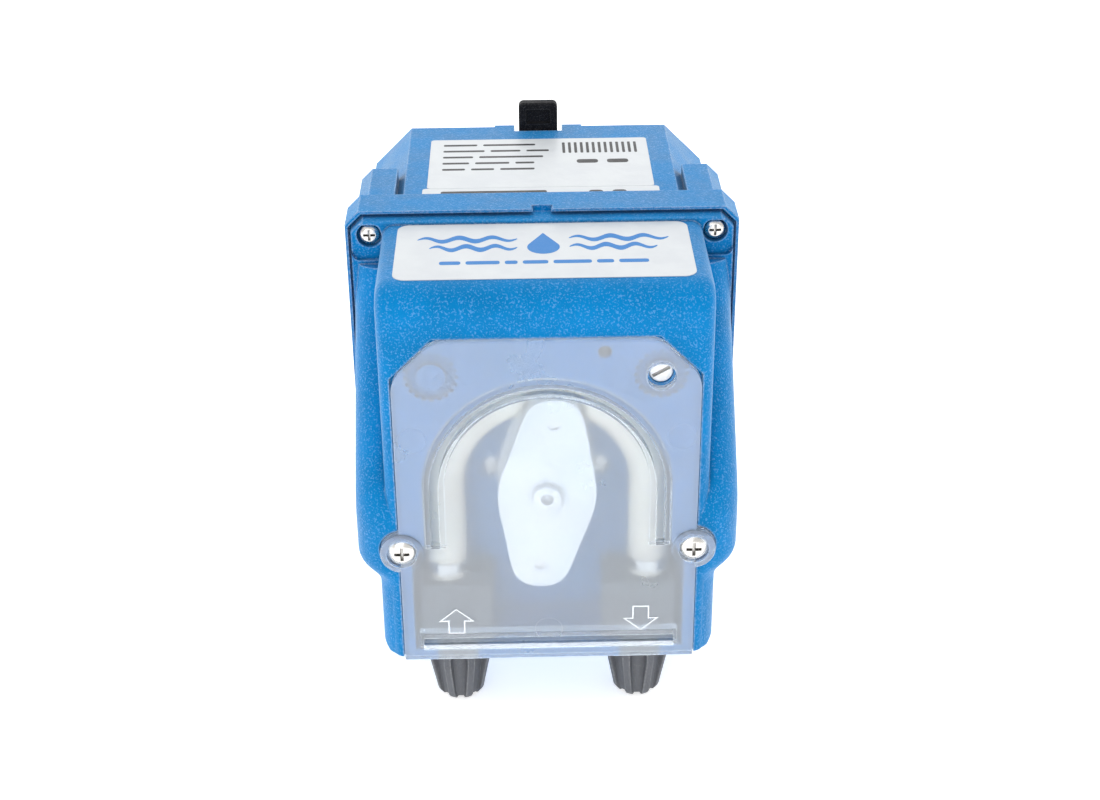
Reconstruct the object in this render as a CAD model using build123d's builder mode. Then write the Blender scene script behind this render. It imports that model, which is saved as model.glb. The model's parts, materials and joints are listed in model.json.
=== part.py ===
"""Wall-mounted peristaltic dosing pump.

Frame: +Z up as the pump hangs on its rail, the front faces -Y and X runs to the viewer's right.
The origin is in the wall plane, in the middle of the rail channel.
Depths are counted back from the cover's outer face, heights up from the housing's bottom edge.
"""

import os
from math import acos, atan2, cos, degrees, pi, radians, sin, sqrt, tan

from build123d import *

# overall sizes, mm
FULL_DEPTH = 107.3
RAIL_HEIGHT = 52.0
FLANGE_WIDTH = 97.4
FLANGE_TOP = 104.8
BLOCK_WIDTH = 78.6
BODY_TOP = 102.2
REAR_WIDTH = 90.3
FOOT_WIDTH = 83.9
REAR_FOOT_WIDTH = 77.0
STEP_LOW = 19.0
STEP_HIGH = 29.5
WALL = 2.5

# depths of the front housing
FACE_DEPTH = 1.4
LIP_DEPTH = 39.3
PARTING_DEPTH = 44.7
FLANGE_BACK = 53.6
WING_TOP = 92.0
WING_ROUND = 7.5
REAR_LABEL_DEPTH = 79.1
STRIP_DEPTH = 57.8
RIM_THICK = 0.7
RIM_REACH = 2.6
RIM_GAP = 0.9
EAR_BACK = 74.0
PANEL_SCREW_X = 31.5
PANEL_SCREW_HEIGHT = 94.0
PANEL_WALL = 5.0

# cover
COVER_WIDTH = 72.8
COVER_TOP = 89.8
COVER_THICK = 2.5
COVER_CUT = 10.0
COVER_GAP = 0.25
GROOVE_DEPTH = 3.0
GROOVE_WALL = 1.5
ARCH_HEIGHT = 49.0
ARCH_OUTER = 30.4
ARCH_INNER = 26.4
ARCH_END = 33.4
LUG_X = 35.7
LUG_HEIGHT = 32.4
LUG_RADIUS = 5.4

# pump head
ROTOR_HEIGHT = 45.4
TRACK_RADIUS = 30.4
HOSE_RADIUS = 5.0
HOSE_WALL = 1.7
HOSE_DEPTH = 12.5
TRACK_GAP = 0.2
CHAMBER_DEPTH = 20.6
CHAMBER_FLOOR = 2.4
POCKET_HALF = 33.7
POCKET_TOP = 33.0
POCKET_FLOOR = 2.0
ROLLER_RADIUS = 7.0
PIN_CIRCLE = 20.0
PIN_RADIUS = 1.5
ROLLER_LENGTH = 10.4
REST_TILT = 4.9
CARRIER_HALF = 12.0
CARRIER_END = 7.6
CARRIER_PLATE = 2.0
HUB_RADIUS = 6.0
SHAFT_RADIUS = 3.0
SHAFT_FLAT = 2.5

# connectors and ring nuts
PORT_X = 23.0
BLOCK_W = 18.6
BLOCK_H = 16.8
NECK_W = 9.7
COLLAR_W = 14.7
COLLAR_H = 2.4
THREAD_RADIUS = 5.0
THREAD_LENGTH = 8.5
STUB_RADIUS = 2.0
STUB_END = -17.8
BORE_RADIUS = 1.2
NUT_TOP = -3.2
NUT_BOTTOM = -17.4
NUT_RADIUS = 7.0
NUT_FOOT = 5.3
FIN_COUNT = 8
FIN_HEIGHT = 1.3
FIN_WIDTH = 2.0

# gearbox and motor
GEAR_MODULE = 0.4
PINION_TEETH = 12
WHEEL_TEETH = 32
PRESSURE_ANGLE = 22.0
BACKLASH = 0.10
GEAR_THICK = 2.4
GEAR_PITCH = 3.0
AXLE_RADIUS = 0.75
RUNNING = 0.05
SHAFT_OFFSET = 7.0
GEARBOX_RADIUS = 18.5
GEARBOX_WALL = 1.2
PLATE_THICK = 2.0
MOTOR_RADIUS = 13.8
MOTOR_LENGTH = 30.0
MOTOR_WALL = 1.0

# electronics
DIAL_X = 26.9
DIAL_HEIGHT = 80.0
DIAL_RING = 6.4
DIAL_HOLE = 3.4
DIAL_TEETH = 20
LED_X = 13.7
LED_HEIGHT = 86.0
LED_RADIUS = 1.5
PANEL_BOARD_DEPTH = 13.0
BOARD_THICK = 1.6
POWER_BOARD_HEIGHT = 12.0

# screws and rail latch
CASE_SCREW_X = 42.6
CASE_SCREW_HEIGHT = 99.3
FOOT_SCREW_X = 36.2
FOOT_SCREW_HEIGHT = 6.0
GEAR_SCREW_HEAD = 2.6
GEAR_SCREW_SINK = 1.5
GLAND_DEPTH = 90.0
GLAND_THREAD = 6.0
RAIL_WIDTH = 35.0
RAIL_DEPTH = 7.5
RAIL_GAP = 0.4
HOOK_REACH = 1.8
HOOK_NEAR = 3.0
HOOK_FAR = 6.0
LATCH_WIDTH = 10.6
LATCH_THICK = 3.2
LATCH_TOP = 109.7
GUIDE_WIDTH = 13.0
GUIDE_DEPTH = 4.6
GUIDE_LIP = 1.2
GUIDE_ROOF = 94.0
STOP_HEIGHT = 95.5
LATCH_FOOT_TOP = 88.0
LATCH_SLOT_LOW = 78.0
LATCH_SLOT_HIGH = 97.4

CLEAR = 0.3
BASE = -RAIL_HEIGHT
HALF = FLANGE_WIDTH / 2
FRONT_HALF = HALF - RIM_THICK - RIM_GAP
FRONT_TOP = FLANGE_TOP - RIM_THICK - RIM_GAP
HOSE_PATH = TRACK_RADIUS - TRACK_GAP - HOSE_RADIUS
FLOOR_BACK = CHAMBER_DEPTH + CHAMBER_FLOOR
ROLLER_FRONT = HOSE_DEPTH - ROLLER_LENGTH / 2
ROLLER_BACK = HOSE_DEPTH + ROLLER_LENGTH / 2
GEARBOX_HEIGHT = ROTOR_HEIGHT + SHAFT_OFFSET
GEARBOX_FRONT = FLOOR_BACK + PLATE_THICK
GEARBOX_BACK = GEARBOX_FRONT + 3 * GEAR_PITCH + 2.0
MOTOR_BACK = GEARBOX_BACK + MOTOR_LENGTH
CHANNEL_HALF = RAIL_WIDTH / 2 + RAIL_GAP
CHANNEL_DEPTH = RAIL_DEPTH + RAIL_GAP
GUIDE_BOTTOM = RAIL_HEIGHT + CHANNEL_HALF
GEAR_CENTRES = GEAR_MODULE * (PINION_TEETH + WHEEL_TEETH) / 2

os.makedirs("parts", exist_ok=True)


def facing(depth, height=0.0, x=0.0, tilt=0.0):
    """An upright plane that faces the front: local x to the right, local y up, tilt clockwise."""
    right = (cos(radians(tilt)), 0, -sin(radians(tilt)))
    return Plane(origin=(x, depth - FULL_DEPTH, BASE + height), x_dir=right, z_dir=(0, -1, 0))


def side_plane(x):
    """An upright plane square to X: local x is depth, local y is height."""
    return Plane(origin=(x, -FULL_DEPTH, BASE), x_dir=(0, 1, 0), z_dir=(1, 0, 0))


def level(height, x=0.0, depth=0.0):
    """A level plane at a height: local y runs back."""
    return Plane(origin=(x, depth - FULL_DEPTH, BASE + height), x_dir=(1, 0, 0), z_dir=(0, 0, 1))


def save(piece, label):
    """Labels a finished piece and writes it as its own node."""
    piece.part.label = label
    export_step(piece.part, f"parts/{label}.step")


def depth_of(edge):
    """The depth of an edge's middle."""
    return edge.center().Y + FULL_DEPTH


def height_of(edge):
    """The height of an edge's middle."""
    return edge.center().Z - BASE


def stepped_outline(half_top, half_foot, bottom, top, cut_x, cut_z, foot_cut, mode=Mode.ADD):
    """A housing outline: an S-shaped step in at the foot and cut corners."""
    mid = (STEP_LOW + STEP_HIGH) / 2
    with BuildLine() as outline:
        Line((0, bottom), (half_foot - foot_cut, bottom))
        Line((half_foot - foot_cut, bottom), (half_foot, bottom + foot_cut))
        Line((half_foot, bottom + foot_cut), (half_foot, STEP_LOW))
        Spline(
            (half_foot, STEP_LOW),
            ((half_foot + half_top) / 2, mid),
            (half_top, STEP_HIGH),
            tangents=[(0, 1), (0, 1)],
        )
        Line((half_top, STEP_HIGH), (half_top, top - cut_z))
        Line((half_top, top - cut_z), (half_top - cut_x, top))
        Line((half_top - cut_x, top), (0, top))
        mirror(about=Plane.YZ)
    make_face(outline.edges(), mode=mode)


def flange_outline(inset=0.0, mode=Mode.ADD):
    """The outline of the rear flange and its rim."""
    foot = FOOT_WIDTH / 2 - inset
    stepped_outline(HALF - inset, foot, inset, FLANGE_TOP - inset, 3.4, 3.4, 1.6, mode)


def front_outline(inset=0.0):
    """The outline of the front flange, which sits inside the rear flange's rim."""
    foot = FOOT_WIDTH / 2 - inset
    stepped_outline(FRONT_HALF - inset, foot, inset, FRONT_TOP - inset, 3.0, 3.0, 1.6)


def rear_outline(inset=0.0, mode=Mode.ADD):
    """The rear box, with its corners cut at 45 degrees."""
    slant = inset * (2 - sqrt(2))
    cut = 10.2 - slant
    foot = 8.6 - slant
    half = REAR_WIDTH / 2 - inset
    half_foot = REAR_FOOT_WIDTH / 2 - inset
    stepped_outline(half, half_foot, 2 + inset, BODY_TOP - inset, cut, cut, foot, mode)


def cover_outline(grow=0.0):
    """The cover's plate with its two screw lugs."""
    half = COVER_WIDTH / 2
    with BuildLine() as outline:
        Polyline(
            (0, 0),
            (half + grow, 0),
            (half + grow, COVER_TOP - COVER_CUT + grow * tan(radians(22.5))),
            (half - COVER_CUT + grow * tan(radians(22.5)), COVER_TOP + grow),
            (0, COVER_TOP + grow),
        )
        mirror(about=Plane.YZ)
    make_face(outline.edges())
    with Locations((LUG_X, LUG_HEIGHT), (-LUG_X, LUG_HEIGHT)):
        Circle(LUG_RADIUS + grow)


def wing_side(inset=0.0):
    """The side view of the housing's wings, whose front sweeps back as it rises."""
    top = WING_TOP - inset
    with BuildLine() as outline:
        Line((PARTING_DEPTH, inset), (FACE_DEPTH + inset, inset))
        Line((FACE_DEPTH + inset, inset), (FACE_DEPTH + inset, 38))
        Spline(
            (FACE_DEPTH + inset, 38),
            (7.0 + inset, 51.5),
            (16.5 + inset, 63),
            (28.5 + inset, 77),
            (36.5 + inset, top),
            tangents=[(0, 1), (0.16, 1)],
        )
        Line((36.5 + inset, top), (PARTING_DEPTH, top))
        Line((PARTING_DEPTH, top), (PARTING_DEPTH, inset))
    make_face(outline.edges())


def cross_recess(radius, depth):
    """A cross slot, as a sketch of two bars."""
    Rectangle(2 * radius, depth)
    Rectangle(depth, 2 * radius)


def wing_body(inset, rounding):
    """The full-width body that carries the wings, with rounded outer front edges."""
    with BuildPart() as body:
        with BuildSketch(side_plane(-HALF)):
            wing_side(inset)
        extrude(amount=FLANGE_WIDTH)
        with BuildSketch(facing(PARTING_DEPTH)):
            front_outline(inset)
        extrude(amount=PARTING_DEPTH, mode=Mode.INTERSECT)
        outer = [
            e
            for e in body.edges()
            if abs(e.center().X) > FOOT_WIDTH / 2 - 2
            and depth_of(e) < PARTING_DEPTH - 0.1
            and abs(e.tangent_at(0.5).Y) < 0.95
            and abs(e.tangent_at(0.5).X) < 0.95
            and STEP_LOW - 15 < height_of(e)
        ]
        fillet(outer, radius=rounding)
    return body.part


def chamber_outline(grow):
    """The pump chamber: an arch over the rotor that widens into the connector pocket."""
    track = TRACK_RADIUS + grow
    pocket = POCKET_HALF + grow
    with Locations((0, ROTOR_HEIGHT)):
        Circle(track)
    with Locations((0, (ROTOR_HEIGHT + POCKET_FLOOR - grow) / 2)):
        Rectangle(2 * track, ROTOR_HEIGHT - POCKET_FLOOR + grow)
    with Locations((0, (POCKET_TOP + POCKET_FLOOR - grow) / 2)):
        Rectangle(2 * pocket, POCKET_TOP - POCKET_FLOOR + grow)


def front_housing():
    """The front half: block, wings and flange lip outside, chamber and panel wall inside."""
    wings = wing_body(0.0, WING_ROUND)
    wing_hollow = wing_body(WALL, WING_ROUND - 2)
    with BuildPart() as housing:
        with BuildSketch(facing(PARTING_DEPTH)):
            with Locations((0, BODY_TOP / 2)):
                Rectangle(BLOCK_WIDTH, BODY_TOP)
        extrude(amount=PARTING_DEPTH - FACE_DEPTH)
        top_front = housing.edges().filter_by(Axis.X).group_by(Axis.Z)[-1].sort_by(Axis.Y)[0]
        fillet(top_front, radius=7)
        outer = housing.edges().filter_by(lambda e: abs(e.center().X) > BLOCK_WIDTH / 2 - 0.1)
        rounded = [e for e in outer if depth_of(e) < PARTING_DEPTH - 1 and height_of(e) > 1]
        fillet(rounded, radius=3)
        add(wings)
        with BuildSketch(facing(PARTING_DEPTH)):
            front_outline()
        extrude(amount=PARTING_DEPTH - LIP_DEPTH)
        lip = [
            e
            for e in housing.edges()
            if abs(depth_of(e) - LIP_DEPTH) < 0.05 and height_of(e) > WING_TOP + 2
            and (height_of(e) > BODY_TOP + 0.5 or abs(e.center().X) > FRONT_HALF - 3)
        ]
        fillet(lip, radius=0.6)
        # hollow from the back
        with BuildSketch(facing(PARTING_DEPTH)):
            with Locations((0, BODY_TOP / 2)):
                Rectangle(BLOCK_WIDTH - 2 * WALL, BODY_TOP - 2 * WALL)
        extrude(amount=PARTING_DEPTH - FACE_DEPTH - PANEL_WALL, mode=Mode.SUBTRACT)
        add(wing_hollow, mode=Mode.SUBTRACT)
        # chamber walls and pocket
        with BuildSketch(facing(FLOOR_BACK)):
            chamber_outline(CHAMBER_FLOOR - 0.4)
        extrude(amount=FLOOR_BACK - FACE_DEPTH - 1)
        with BuildSketch(facing(CHAMBER_DEPTH)):
            chamber_outline(0)
        extrude(amount=CHAMBER_DEPTH, mode=Mode.SUBTRACT)
        # seat for the cover
        with BuildSketch(facing(COVER_THICK)):
            cover_outline(COVER_GAP)
        extrude(amount=COVER_THICK, mode=Mode.SUBTRACT)
        with BuildSketch(facing(GROOVE_DEPTH + GROOVE_WALL + CLEAR)):
            arch_band(ARCH_OUTER, 1.0, 2)
        extrude(amount=GROOVE_DEPTH + GROOVE_WALL, mode=Mode.SUBTRACT)
        # slots for the connector necks
        neck_back = HOSE_DEPTH + NECK_W / 2 + COVER_GAP
        with BuildSketch(level(0)):
            for x in (-PORT_X, PORT_X):
                with Locations((x, neck_back / 2)):
                    Rectangle(NECK_W + 2 * COVER_GAP, neck_back)
        extrude(amount=POCKET_FLOOR, mode=Mode.SUBTRACT)
        # shaft hole and screw holes of the gearbox
        with BuildSketch(facing(FLOOR_BACK)):
            with Locations((0, ROTOR_HEIGHT)):
                Circle(HUB_RADIUS + CLEAR)
            with Locations((0, GEARBOX_HEIGHT)):
                with PolarLocations(GEARBOX_RADIUS - 3, 3, start_angle=90):
                    Circle(1.6)
        extrude(amount=CHAMBER_FLOOR, mode=Mode.SUBTRACT)
        with BuildSketch(facing(CHAMBER_DEPTH)):
            with Locations((0, GEARBOX_HEIGHT)):
                with PolarLocations(GEARBOX_RADIUS - 3, 3, start_angle=90):
                    Circle(GEAR_SCREW_HEAD + 0.2)
        extrude(amount=-GEAR_SCREW_SINK, mode=Mode.SUBTRACT)
        # bosses for the cover screws
        with BuildSketch(facing(16)):
            with Locations((LUG_X, LUG_HEIGHT), (-LUG_X, LUG_HEIGHT)):
                Circle(4.2)
        extrude(amount=16 - COVER_THICK)
        with BuildSketch(facing(COVER_THICK)):
            with Locations((LUG_X, LUG_HEIGHT), (-LUG_X, LUG_HEIGHT)):
                Circle(1.55)
        extrude(amount=-12, mode=Mode.SUBTRACT)
        # toothed rings around the dial and its blank twin
        with BuildSketch(facing(COVER_THICK)):
            for x in (-DIAL_X, DIAL_X):
                with Locations((x, DIAL_HEIGHT)):
                    Circle(DIAL_RING - 0.7)
                    with PolarLocations(DIAL_RING - 0.8, DIAL_TEETH):
                        Rectangle(1.6, 1.0)
                    Circle(DIAL_HOLE, mode=Mode.SUBTRACT)
        extrude(amount=-1.3, mode=Mode.SUBTRACT)
        with BuildSketch(facing(COVER_THICK)):
            with Locations((DIAL_X, DIAL_HEIGHT)):
                Circle(2.9)
            with Locations((LED_X, LED_HEIGHT)):
                Circle(LED_RADIUS + 0.15)
        extrude(amount=-6, mode=Mode.SUBTRACT)
        # posts for the panel board
        post_back = PANEL_BOARD_DEPTH
        with BuildSketch(facing(post_back)):
            with Locations(*panel_screw_places()):
                Circle(2.4)
                Circle(1.05, mode=Mode.SUBTRACT)
        extrude(amount=post_back - FACE_DEPTH - PANEL_WALL)
        # corner platforms and wells of the case screws
        with BuildSketch(facing(LIP_DEPTH)):
            for side in (-1, 1):
                with Locations((side * (CASE_SCREW_X + 0.8), CASE_SCREW_HEIGHT - 1.6)):
                    RectangleRounded(7.4, 9.4, 2)
        extrude(amount=-0.9, mode=Mode.SUBTRACT)
        screw_cuts(LIP_DEPTH, 3.15, 2.8, 1.7, PARTING_DEPTH, CASE_SCREW_X, CASE_SCREW_HEIGHT)
        # pilot holes for the foot screws, which come from behind
        with BuildSketch(facing(PARTING_DEPTH)):
            with Locations((FOOT_SCREW_X, FOOT_SCREW_HEIGHT), (-FOOT_SCREW_X, FOOT_SCREW_HEIGHT)):
                Circle(3.6)
        extrude(amount=10)
        with BuildSketch(facing(PARTING_DEPTH)):
            with Locations((FOOT_SCREW_X, FOOT_SCREW_HEIGHT), (-FOOT_SCREW_X, FOOT_SCREW_HEIGHT)):
                Circle(1.55)
        extrude(amount=8.5, mode=Mode.SUBTRACT)
        # groove for the gasket
        with BuildSketch(facing(PARTING_DEPTH)):
            rear_outline(0.55)
            rear_outline(1.95, Mode.SUBTRACT)
        extrude(amount=0.6, mode=Mode.SUBTRACT)
    save(housing, "front_housing")


def screw_cuts(face, well_radius, well_depth, hole_radius, back, x, height):
    """A pair of wells and clearance holes, cut backwards from a face."""
    places = ((x, height), (-x, height))
    with BuildSketch(facing(face)) as wells:
        with Locations(*places):
            Circle(well_radius)
    extrude(wells.sketch, amount=-well_depth, mode=Mode.SUBTRACT)
    with BuildSketch(facing(face)) as holes:
        with Locations(*places):
            Circle(hole_radius)
    extrude(holes.sketch, amount=face - back, mode=Mode.SUBTRACT)


def panel_screw_places():
    """Where the panel board is screwed down."""
    return ((-PANEL_SCREW_X, PANEL_SCREW_HEIGHT), (PANEL_SCREW_X, PANEL_SCREW_HEIGHT))


def rear_housing():
    """The rear half: flange, box, ears, rail channel and latch guide."""
    with BuildPart() as housing:
        with BuildSketch(facing(FULL_DEPTH)):
            rear_outline()
        extrude(amount=FULL_DEPTH - PARTING_DEPTH)
        back = [e for e in housing.edges() if abs(depth_of(e) - FULL_DEPTH) < 0.05]
        fillet(back, radius=1.5)
        with BuildSketch(facing(FLANGE_BACK)):
            flange_outline()
        extrude(amount=FLANGE_BACK - PARTING_DEPTH)
        rim = [
            e
            for e in housing.edges()
            if abs(depth_of(e) - FLANGE_BACK) < 0.05
            and (height_of(e) > FLANGE_TOP - 1 or abs(e.center().X) > REAR_WIDTH / 2 + 0.5)
            and height_of(e) > STEP_HIGH
        ]
        fillet(rim, radius=1.0)
        # rim around the front flange, above the step, with a pry notch at its top
        with BuildSketch(facing(PARTING_DEPTH)):
            flange_outline()
            flange_outline(RIM_THICK, Mode.SUBTRACT)
            with Locations((0, STEP_HIGH / 2)):
                Rectangle(FLANGE_WIDTH, STEP_HIGH, mode=Mode.SUBTRACT)
        extrude(amount=RIM_REACH)
        with BuildSketch(facing(PARTING_DEPTH)):
            with Locations((0, FLANGE_TOP + 1.0)):
                Circle(2.8)
        extrude(amount=RIM_REACH, mode=Mode.SUBTRACT)
        # ears that carry the case screws behind the flange
        with BuildSketch(facing(EAR_BACK)):
            ear(CASE_SCREW_X, CASE_SCREW_HEIGHT, 1)
            ear(FOOT_SCREW_X, FOOT_SCREW_HEIGHT, -1)
        extrude(amount=EAR_BACK - PARTING_DEPTH)
        # hollow
        with BuildSketch(facing(FULL_DEPTH - WALL)):
            rear_outline(WALL)
        extrude(amount=FULL_DEPTH, mode=Mode.SUBTRACT)
        # walls around the rail channel and the latch guide
        channel_front = FULL_DEPTH - CHANNEL_DEPTH - WALL
        with BuildSketch(facing(FULL_DEPTH)):
            with Locations((0, RAIL_HEIGHT)):
                Rectangle(REAR_WIDTH - WALL, 2 * CHANNEL_HALF + 2 * WALL)
        extrude(amount=FULL_DEPTH - channel_front)
        guide_front = FULL_DEPTH - HOOK_FAR - 1.0 - WALL
        with BuildSketch(facing(FULL_DEPTH)):
            with Locations((0, (GUIDE_BOTTOM + BODY_TOP) / 2)):
                Rectangle(GUIDE_WIDTH + 11, BODY_TOP - GUIDE_BOTTOM)
        extrude(amount=FULL_DEPTH - guide_front)
        # rail channel, open to both sides, with its fixed hook along the lower edge
        with BuildSketch(side_plane(-HALF)):
            with Locations((FULL_DEPTH - CHANNEL_DEPTH / 2 + 5, RAIL_HEIGHT)):
                Rectangle(CHANNEL_DEPTH + 10, 2 * CHANNEL_HALF)
        extrude(amount=FLANGE_WIDTH, mode=Mode.SUBTRACT)
        hook_low = RAIL_HEIGHT - CHANNEL_HALF
        with BuildSketch(side_plane(-30)):
            with BuildLine():
                Polyline(
                    (FULL_DEPTH - HOOK_FAR, hook_low - 0.5),
                    (FULL_DEPTH - HOOK_FAR, hook_low + HOOK_REACH),
                    (FULL_DEPTH - HOOK_NEAR - 1, hook_low + HOOK_REACH),
                    (FULL_DEPTH - HOOK_NEAR, hook_low + HOOK_REACH - 1),
                    (FULL_DEPTH - HOOK_NEAR, hook_low - 0.5),
                    close=True,
                )
            make_face()
        extrude(amount=60)
        # latch guide: a slot open at the top with undercut side grooves
        with BuildSketch(facing(FULL_DEPTH)):
            with Locations((0, (GUIDE_BOTTOM + BODY_TOP) / 2)):
                Rectangle(GUIDE_WIDTH, BODY_TOP - GUIDE_BOTTOM + 1)
        extrude(amount=GUIDE_DEPTH, mode=Mode.SUBTRACT)
        with BuildSketch(facing(FULL_DEPTH - LATCH_THICK + GUIDE_LIP)):
            with Locations((0, (GUIDE_BOTTOM + GUIDE_ROOF) / 2 - 1)):
                Rectangle(GUIDE_WIDTH + 4, GUIDE_ROOF - GUIDE_BOTTOM + 2)
        extrude(amount=GUIDE_DEPTH - LATCH_THICK + GUIDE_LIP, mode=Mode.SUBTRACT)
        with BuildSketch(facing(FULL_DEPTH)):
            with Locations((0, GUIDE_BOTTOM + 4)):
                Rectangle(GUIDE_WIDTH, 10)
        extrude(amount=HOOK_FAR + 0.6, mode=Mode.SUBTRACT)
        # stop that the spring pushes against
        with BuildSketch(facing(FULL_DEPTH - 0.6)):
            with Locations((0, STOP_HEIGHT)):
                Rectangle(4.6, 3)
        extrude(amount=GUIDE_DEPTH)
        # case screw pilot holes at the top, wells and holes at the foot
        with BuildSketch(facing(PARTING_DEPTH)):
            with Locations((CASE_SCREW_X, CASE_SCREW_HEIGHT), (-CASE_SCREW_X, CASE_SCREW_HEIGHT)):
                Circle(1.55)
        extrude(amount=-20, mode=Mode.SUBTRACT)
        with BuildSketch(facing(EAR_BACK)):
            with Locations((FOOT_SCREW_X, FOOT_SCREW_HEIGHT), (-FOOT_SCREW_X, FOOT_SCREW_HEIGHT)):
                Circle(3.0)
        extrude(amount=24, mode=Mode.SUBTRACT)
        with BuildSketch(facing(EAR_BACK)):
            with Locations((FOOT_SCREW_X, FOOT_SCREW_HEIGHT), (-FOOT_SCREW_X, FOOT_SCREW_HEIGHT)):
                Circle(1.7)
        extrude(amount=EAR_BACK - PARTING_DEPTH, mode=Mode.SUBTRACT)
        # gasket groove
        with BuildSketch(facing(PARTING_DEPTH + 0.6)):
            rear_outline(0.55)
            rear_outline(1.95, Mode.SUBTRACT)
        extrude(amount=0.6, mode=Mode.SUBTRACT)
        # posts for the power board, and the hole for the cable gland
        with BuildSketch(level(WALL)):
            with Locations(*power_screw_places()):
                Circle(2.6)
        extrude(amount=POWER_BOARD_HEIGHT - WALL)
        with BuildSketch(level(POWER_BOARD_HEIGHT)):
            with Locations(*power_screw_places()):
                Circle(1.05)
        extrude(amount=-7, mode=Mode.SUBTRACT)
        with BuildSketch(level(0, 0, GLAND_DEPTH)):
            Circle(GLAND_THREAD + 0.15)
        extrude(amount=WALL + 3, mode=Mode.SUBTRACT)
    save(housing, "rear_housing")


def power_screw_places():
    """Where the power board is screwed down, as (x, depth)."""
    return ((-31.0, 55.0), (31.0, 55.0), (-31.0, 77.0), (31.0, 77.0))


def ear(x, height, up):
    """A pair of ears around screw holes, sloped parallel to the box's cut corner."""
    for side in (-1, 1):
        with BuildLine() as outline:
            Polyline(
                (side * (x - 5.6), height - up * 8.0),
                (side * (x + 4.0), height - up * 8.0),
                (side * (x + 4.0), height + up * 1.0),
                (side * (x + 1.0), height + up * 4.0),
                (side * (x - 5.6), height + up * 4.0),
                close=True,
            )
        make_face(outline.edges())


def housing_gasket():
    """A flat seal squeezed between the two housing halves."""
    with BuildPart() as gasket:
        with BuildSketch(facing(PARTING_DEPTH + 0.55)):
            rear_outline(0.65)
            rear_outline(1.85, Mode.SUBTRACT)
        extrude(amount=1.1)
    save(gasket, "housing_gasket")


def arch_band(outer, inner, end):
    """An arch with straight legs, between an outer and an inner radius."""
    with Locations((0, ARCH_HEIGHT)):
        Circle(outer)
    with Locations((0, (ARCH_HEIGHT + end) / 2)):
        Rectangle(2 * outer, ARCH_HEIGHT - end)
    with Locations((0, ARCH_HEIGHT)):
        Circle(inner, mode=Mode.SUBTRACT)
    with Locations((0, (ARCH_HEIGHT + end) / 2 - 20)):
        Rectangle(2 * inner, ARCH_HEIGHT - end + 40, mode=Mode.SUBTRACT)
    with Locations((0, end - 20)):
        Rectangle(3 * outer, 40, mode=Mode.SUBTRACT)


def arrow(x, up):
    """An outlined flow arrow beside the bottom bar of the cover."""
    low, high, head, stem = 8.2, 15.4, 4.2, 1.95
    tip = high if up else low
    base = low if up else high
    shoulder = tip - 3.6 if up else tip + 3.6
    with BuildLine() as outline:
        Polyline(
            (x, tip),
            (x + head, shoulder),
            (x + stem, shoulder),
            (x + stem, base),
            (x - stem, base),
            (x - stem, shoulder),
            (x - head, shoulder),
            close=True,
        )
    make_face(outline.edges())


def front_cover():
    """The clear cover: plate, grooved arch, bottom groove, screw collars, dial hole, arrows."""
    rib_back = GROOVE_DEPTH + GROOVE_WALL
    with BuildPart() as cover:
        with BuildSketch(facing(COVER_THICK)):
            cover_outline()
        extrude(amount=COVER_THICK)
        corners = [e for e in cover.edges().filter_by(Axis.Y) if height_of(e) > COVER_TOP - 12]
        fillet(corners, radius=8)
        rim = [
            e
            for e in cover.edges()
            if depth_of(e) < 0.05 and (height_of(e) > 1 or abs(e.center().X) > 5)
        ]
        fillet(rim, radius=0.6)
        with BuildSketch(facing(rib_back)):
            arch_band(ARCH_OUTER - 0.4, ARCH_INNER - GROOVE_WALL, ARCH_END - 1)
            with Locations((0, 4.7)):
                Rectangle(2 * 31.4 + 2, 4.6)
        extrude(amount=rib_back - 1)
        with BuildSketch(facing(0)):
            arch_band(ARCH_OUTER - GROOVE_WALL - 0.4, ARCH_INNER, ARCH_END)
            with Locations((0, 4.7)):
                Rectangle(2 * 31.4, 3.4)
        extrude(amount=-GROOVE_DEPTH, mode=Mode.SUBTRACT)
        # raised screw collars with sunk heads
        with BuildSketch(facing(COVER_THICK)):
            with Locations((LUG_X, LUG_HEIGHT), (-LUG_X, LUG_HEIGHT)):
                Circle(LUG_RADIUS)
        extrude(amount=COVER_THICK + 0.9)
        collar = [e for e in cover.edges() if depth_of(e) < -0.8]
        fillet(collar, radius=0.5)
        with BuildSketch(facing(-0.9)):
            with Locations((LUG_X, LUG_HEIGHT), (-LUG_X, LUG_HEIGHT)):
                Circle(3.7)
        extrude(amount=-1.9, mode=Mode.SUBTRACT)
        with BuildSketch(facing(-0.9)):
            with Locations((LUG_X, LUG_HEIGHT), (-LUG_X, LUG_HEIGHT)):
                Circle(1.7)
            with Locations((DIAL_X, DIAL_HEIGHT)):
                Circle(DIAL_HOLE)
        extrude(amount=-6, mode=Mode.SUBTRACT)
        # outlined arrows, raised by a hair
        with BuildSketch(facing(0)):
            arrow(-PORT_X, True)
            arrow(PORT_X, False)
            offset(amount=-0.28, mode=Mode.SUBTRACT)
        extrude(amount=0.2)
    save(cover, "front_cover")


def pan_screw(head_radius, head_height, shank_radius, length, recess):
    """A pan head screw about +Z, its seat at z = 0 and its shank below."""
    with BuildPart() as screw:
        with BuildSketch(Plane.XZ):
            with BuildLine():
                Polyline(
                    (0, head_height),
                    (head_radius * 0.62, head_height * 0.94),
                    (head_radius * 0.9, head_height * 0.68),
                    (head_radius, head_height * 0.3),
                    (head_radius, 0),
                    (shank_radius, 0),
                    (shank_radius, -length + 1),
                    (shank_radius * 0.4, -length),
                    (0, -length),
                    close=True,
                )
            make_face()
        revolve(axis=Axis.Z)
        with BuildSketch(Plane.XY.offset(head_height)):
            cross_recess(head_radius * 0.55, head_radius * 0.24)
        extrude(amount=-recess, mode=Mode.SUBTRACT, taper=8)
    return screw.part


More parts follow.
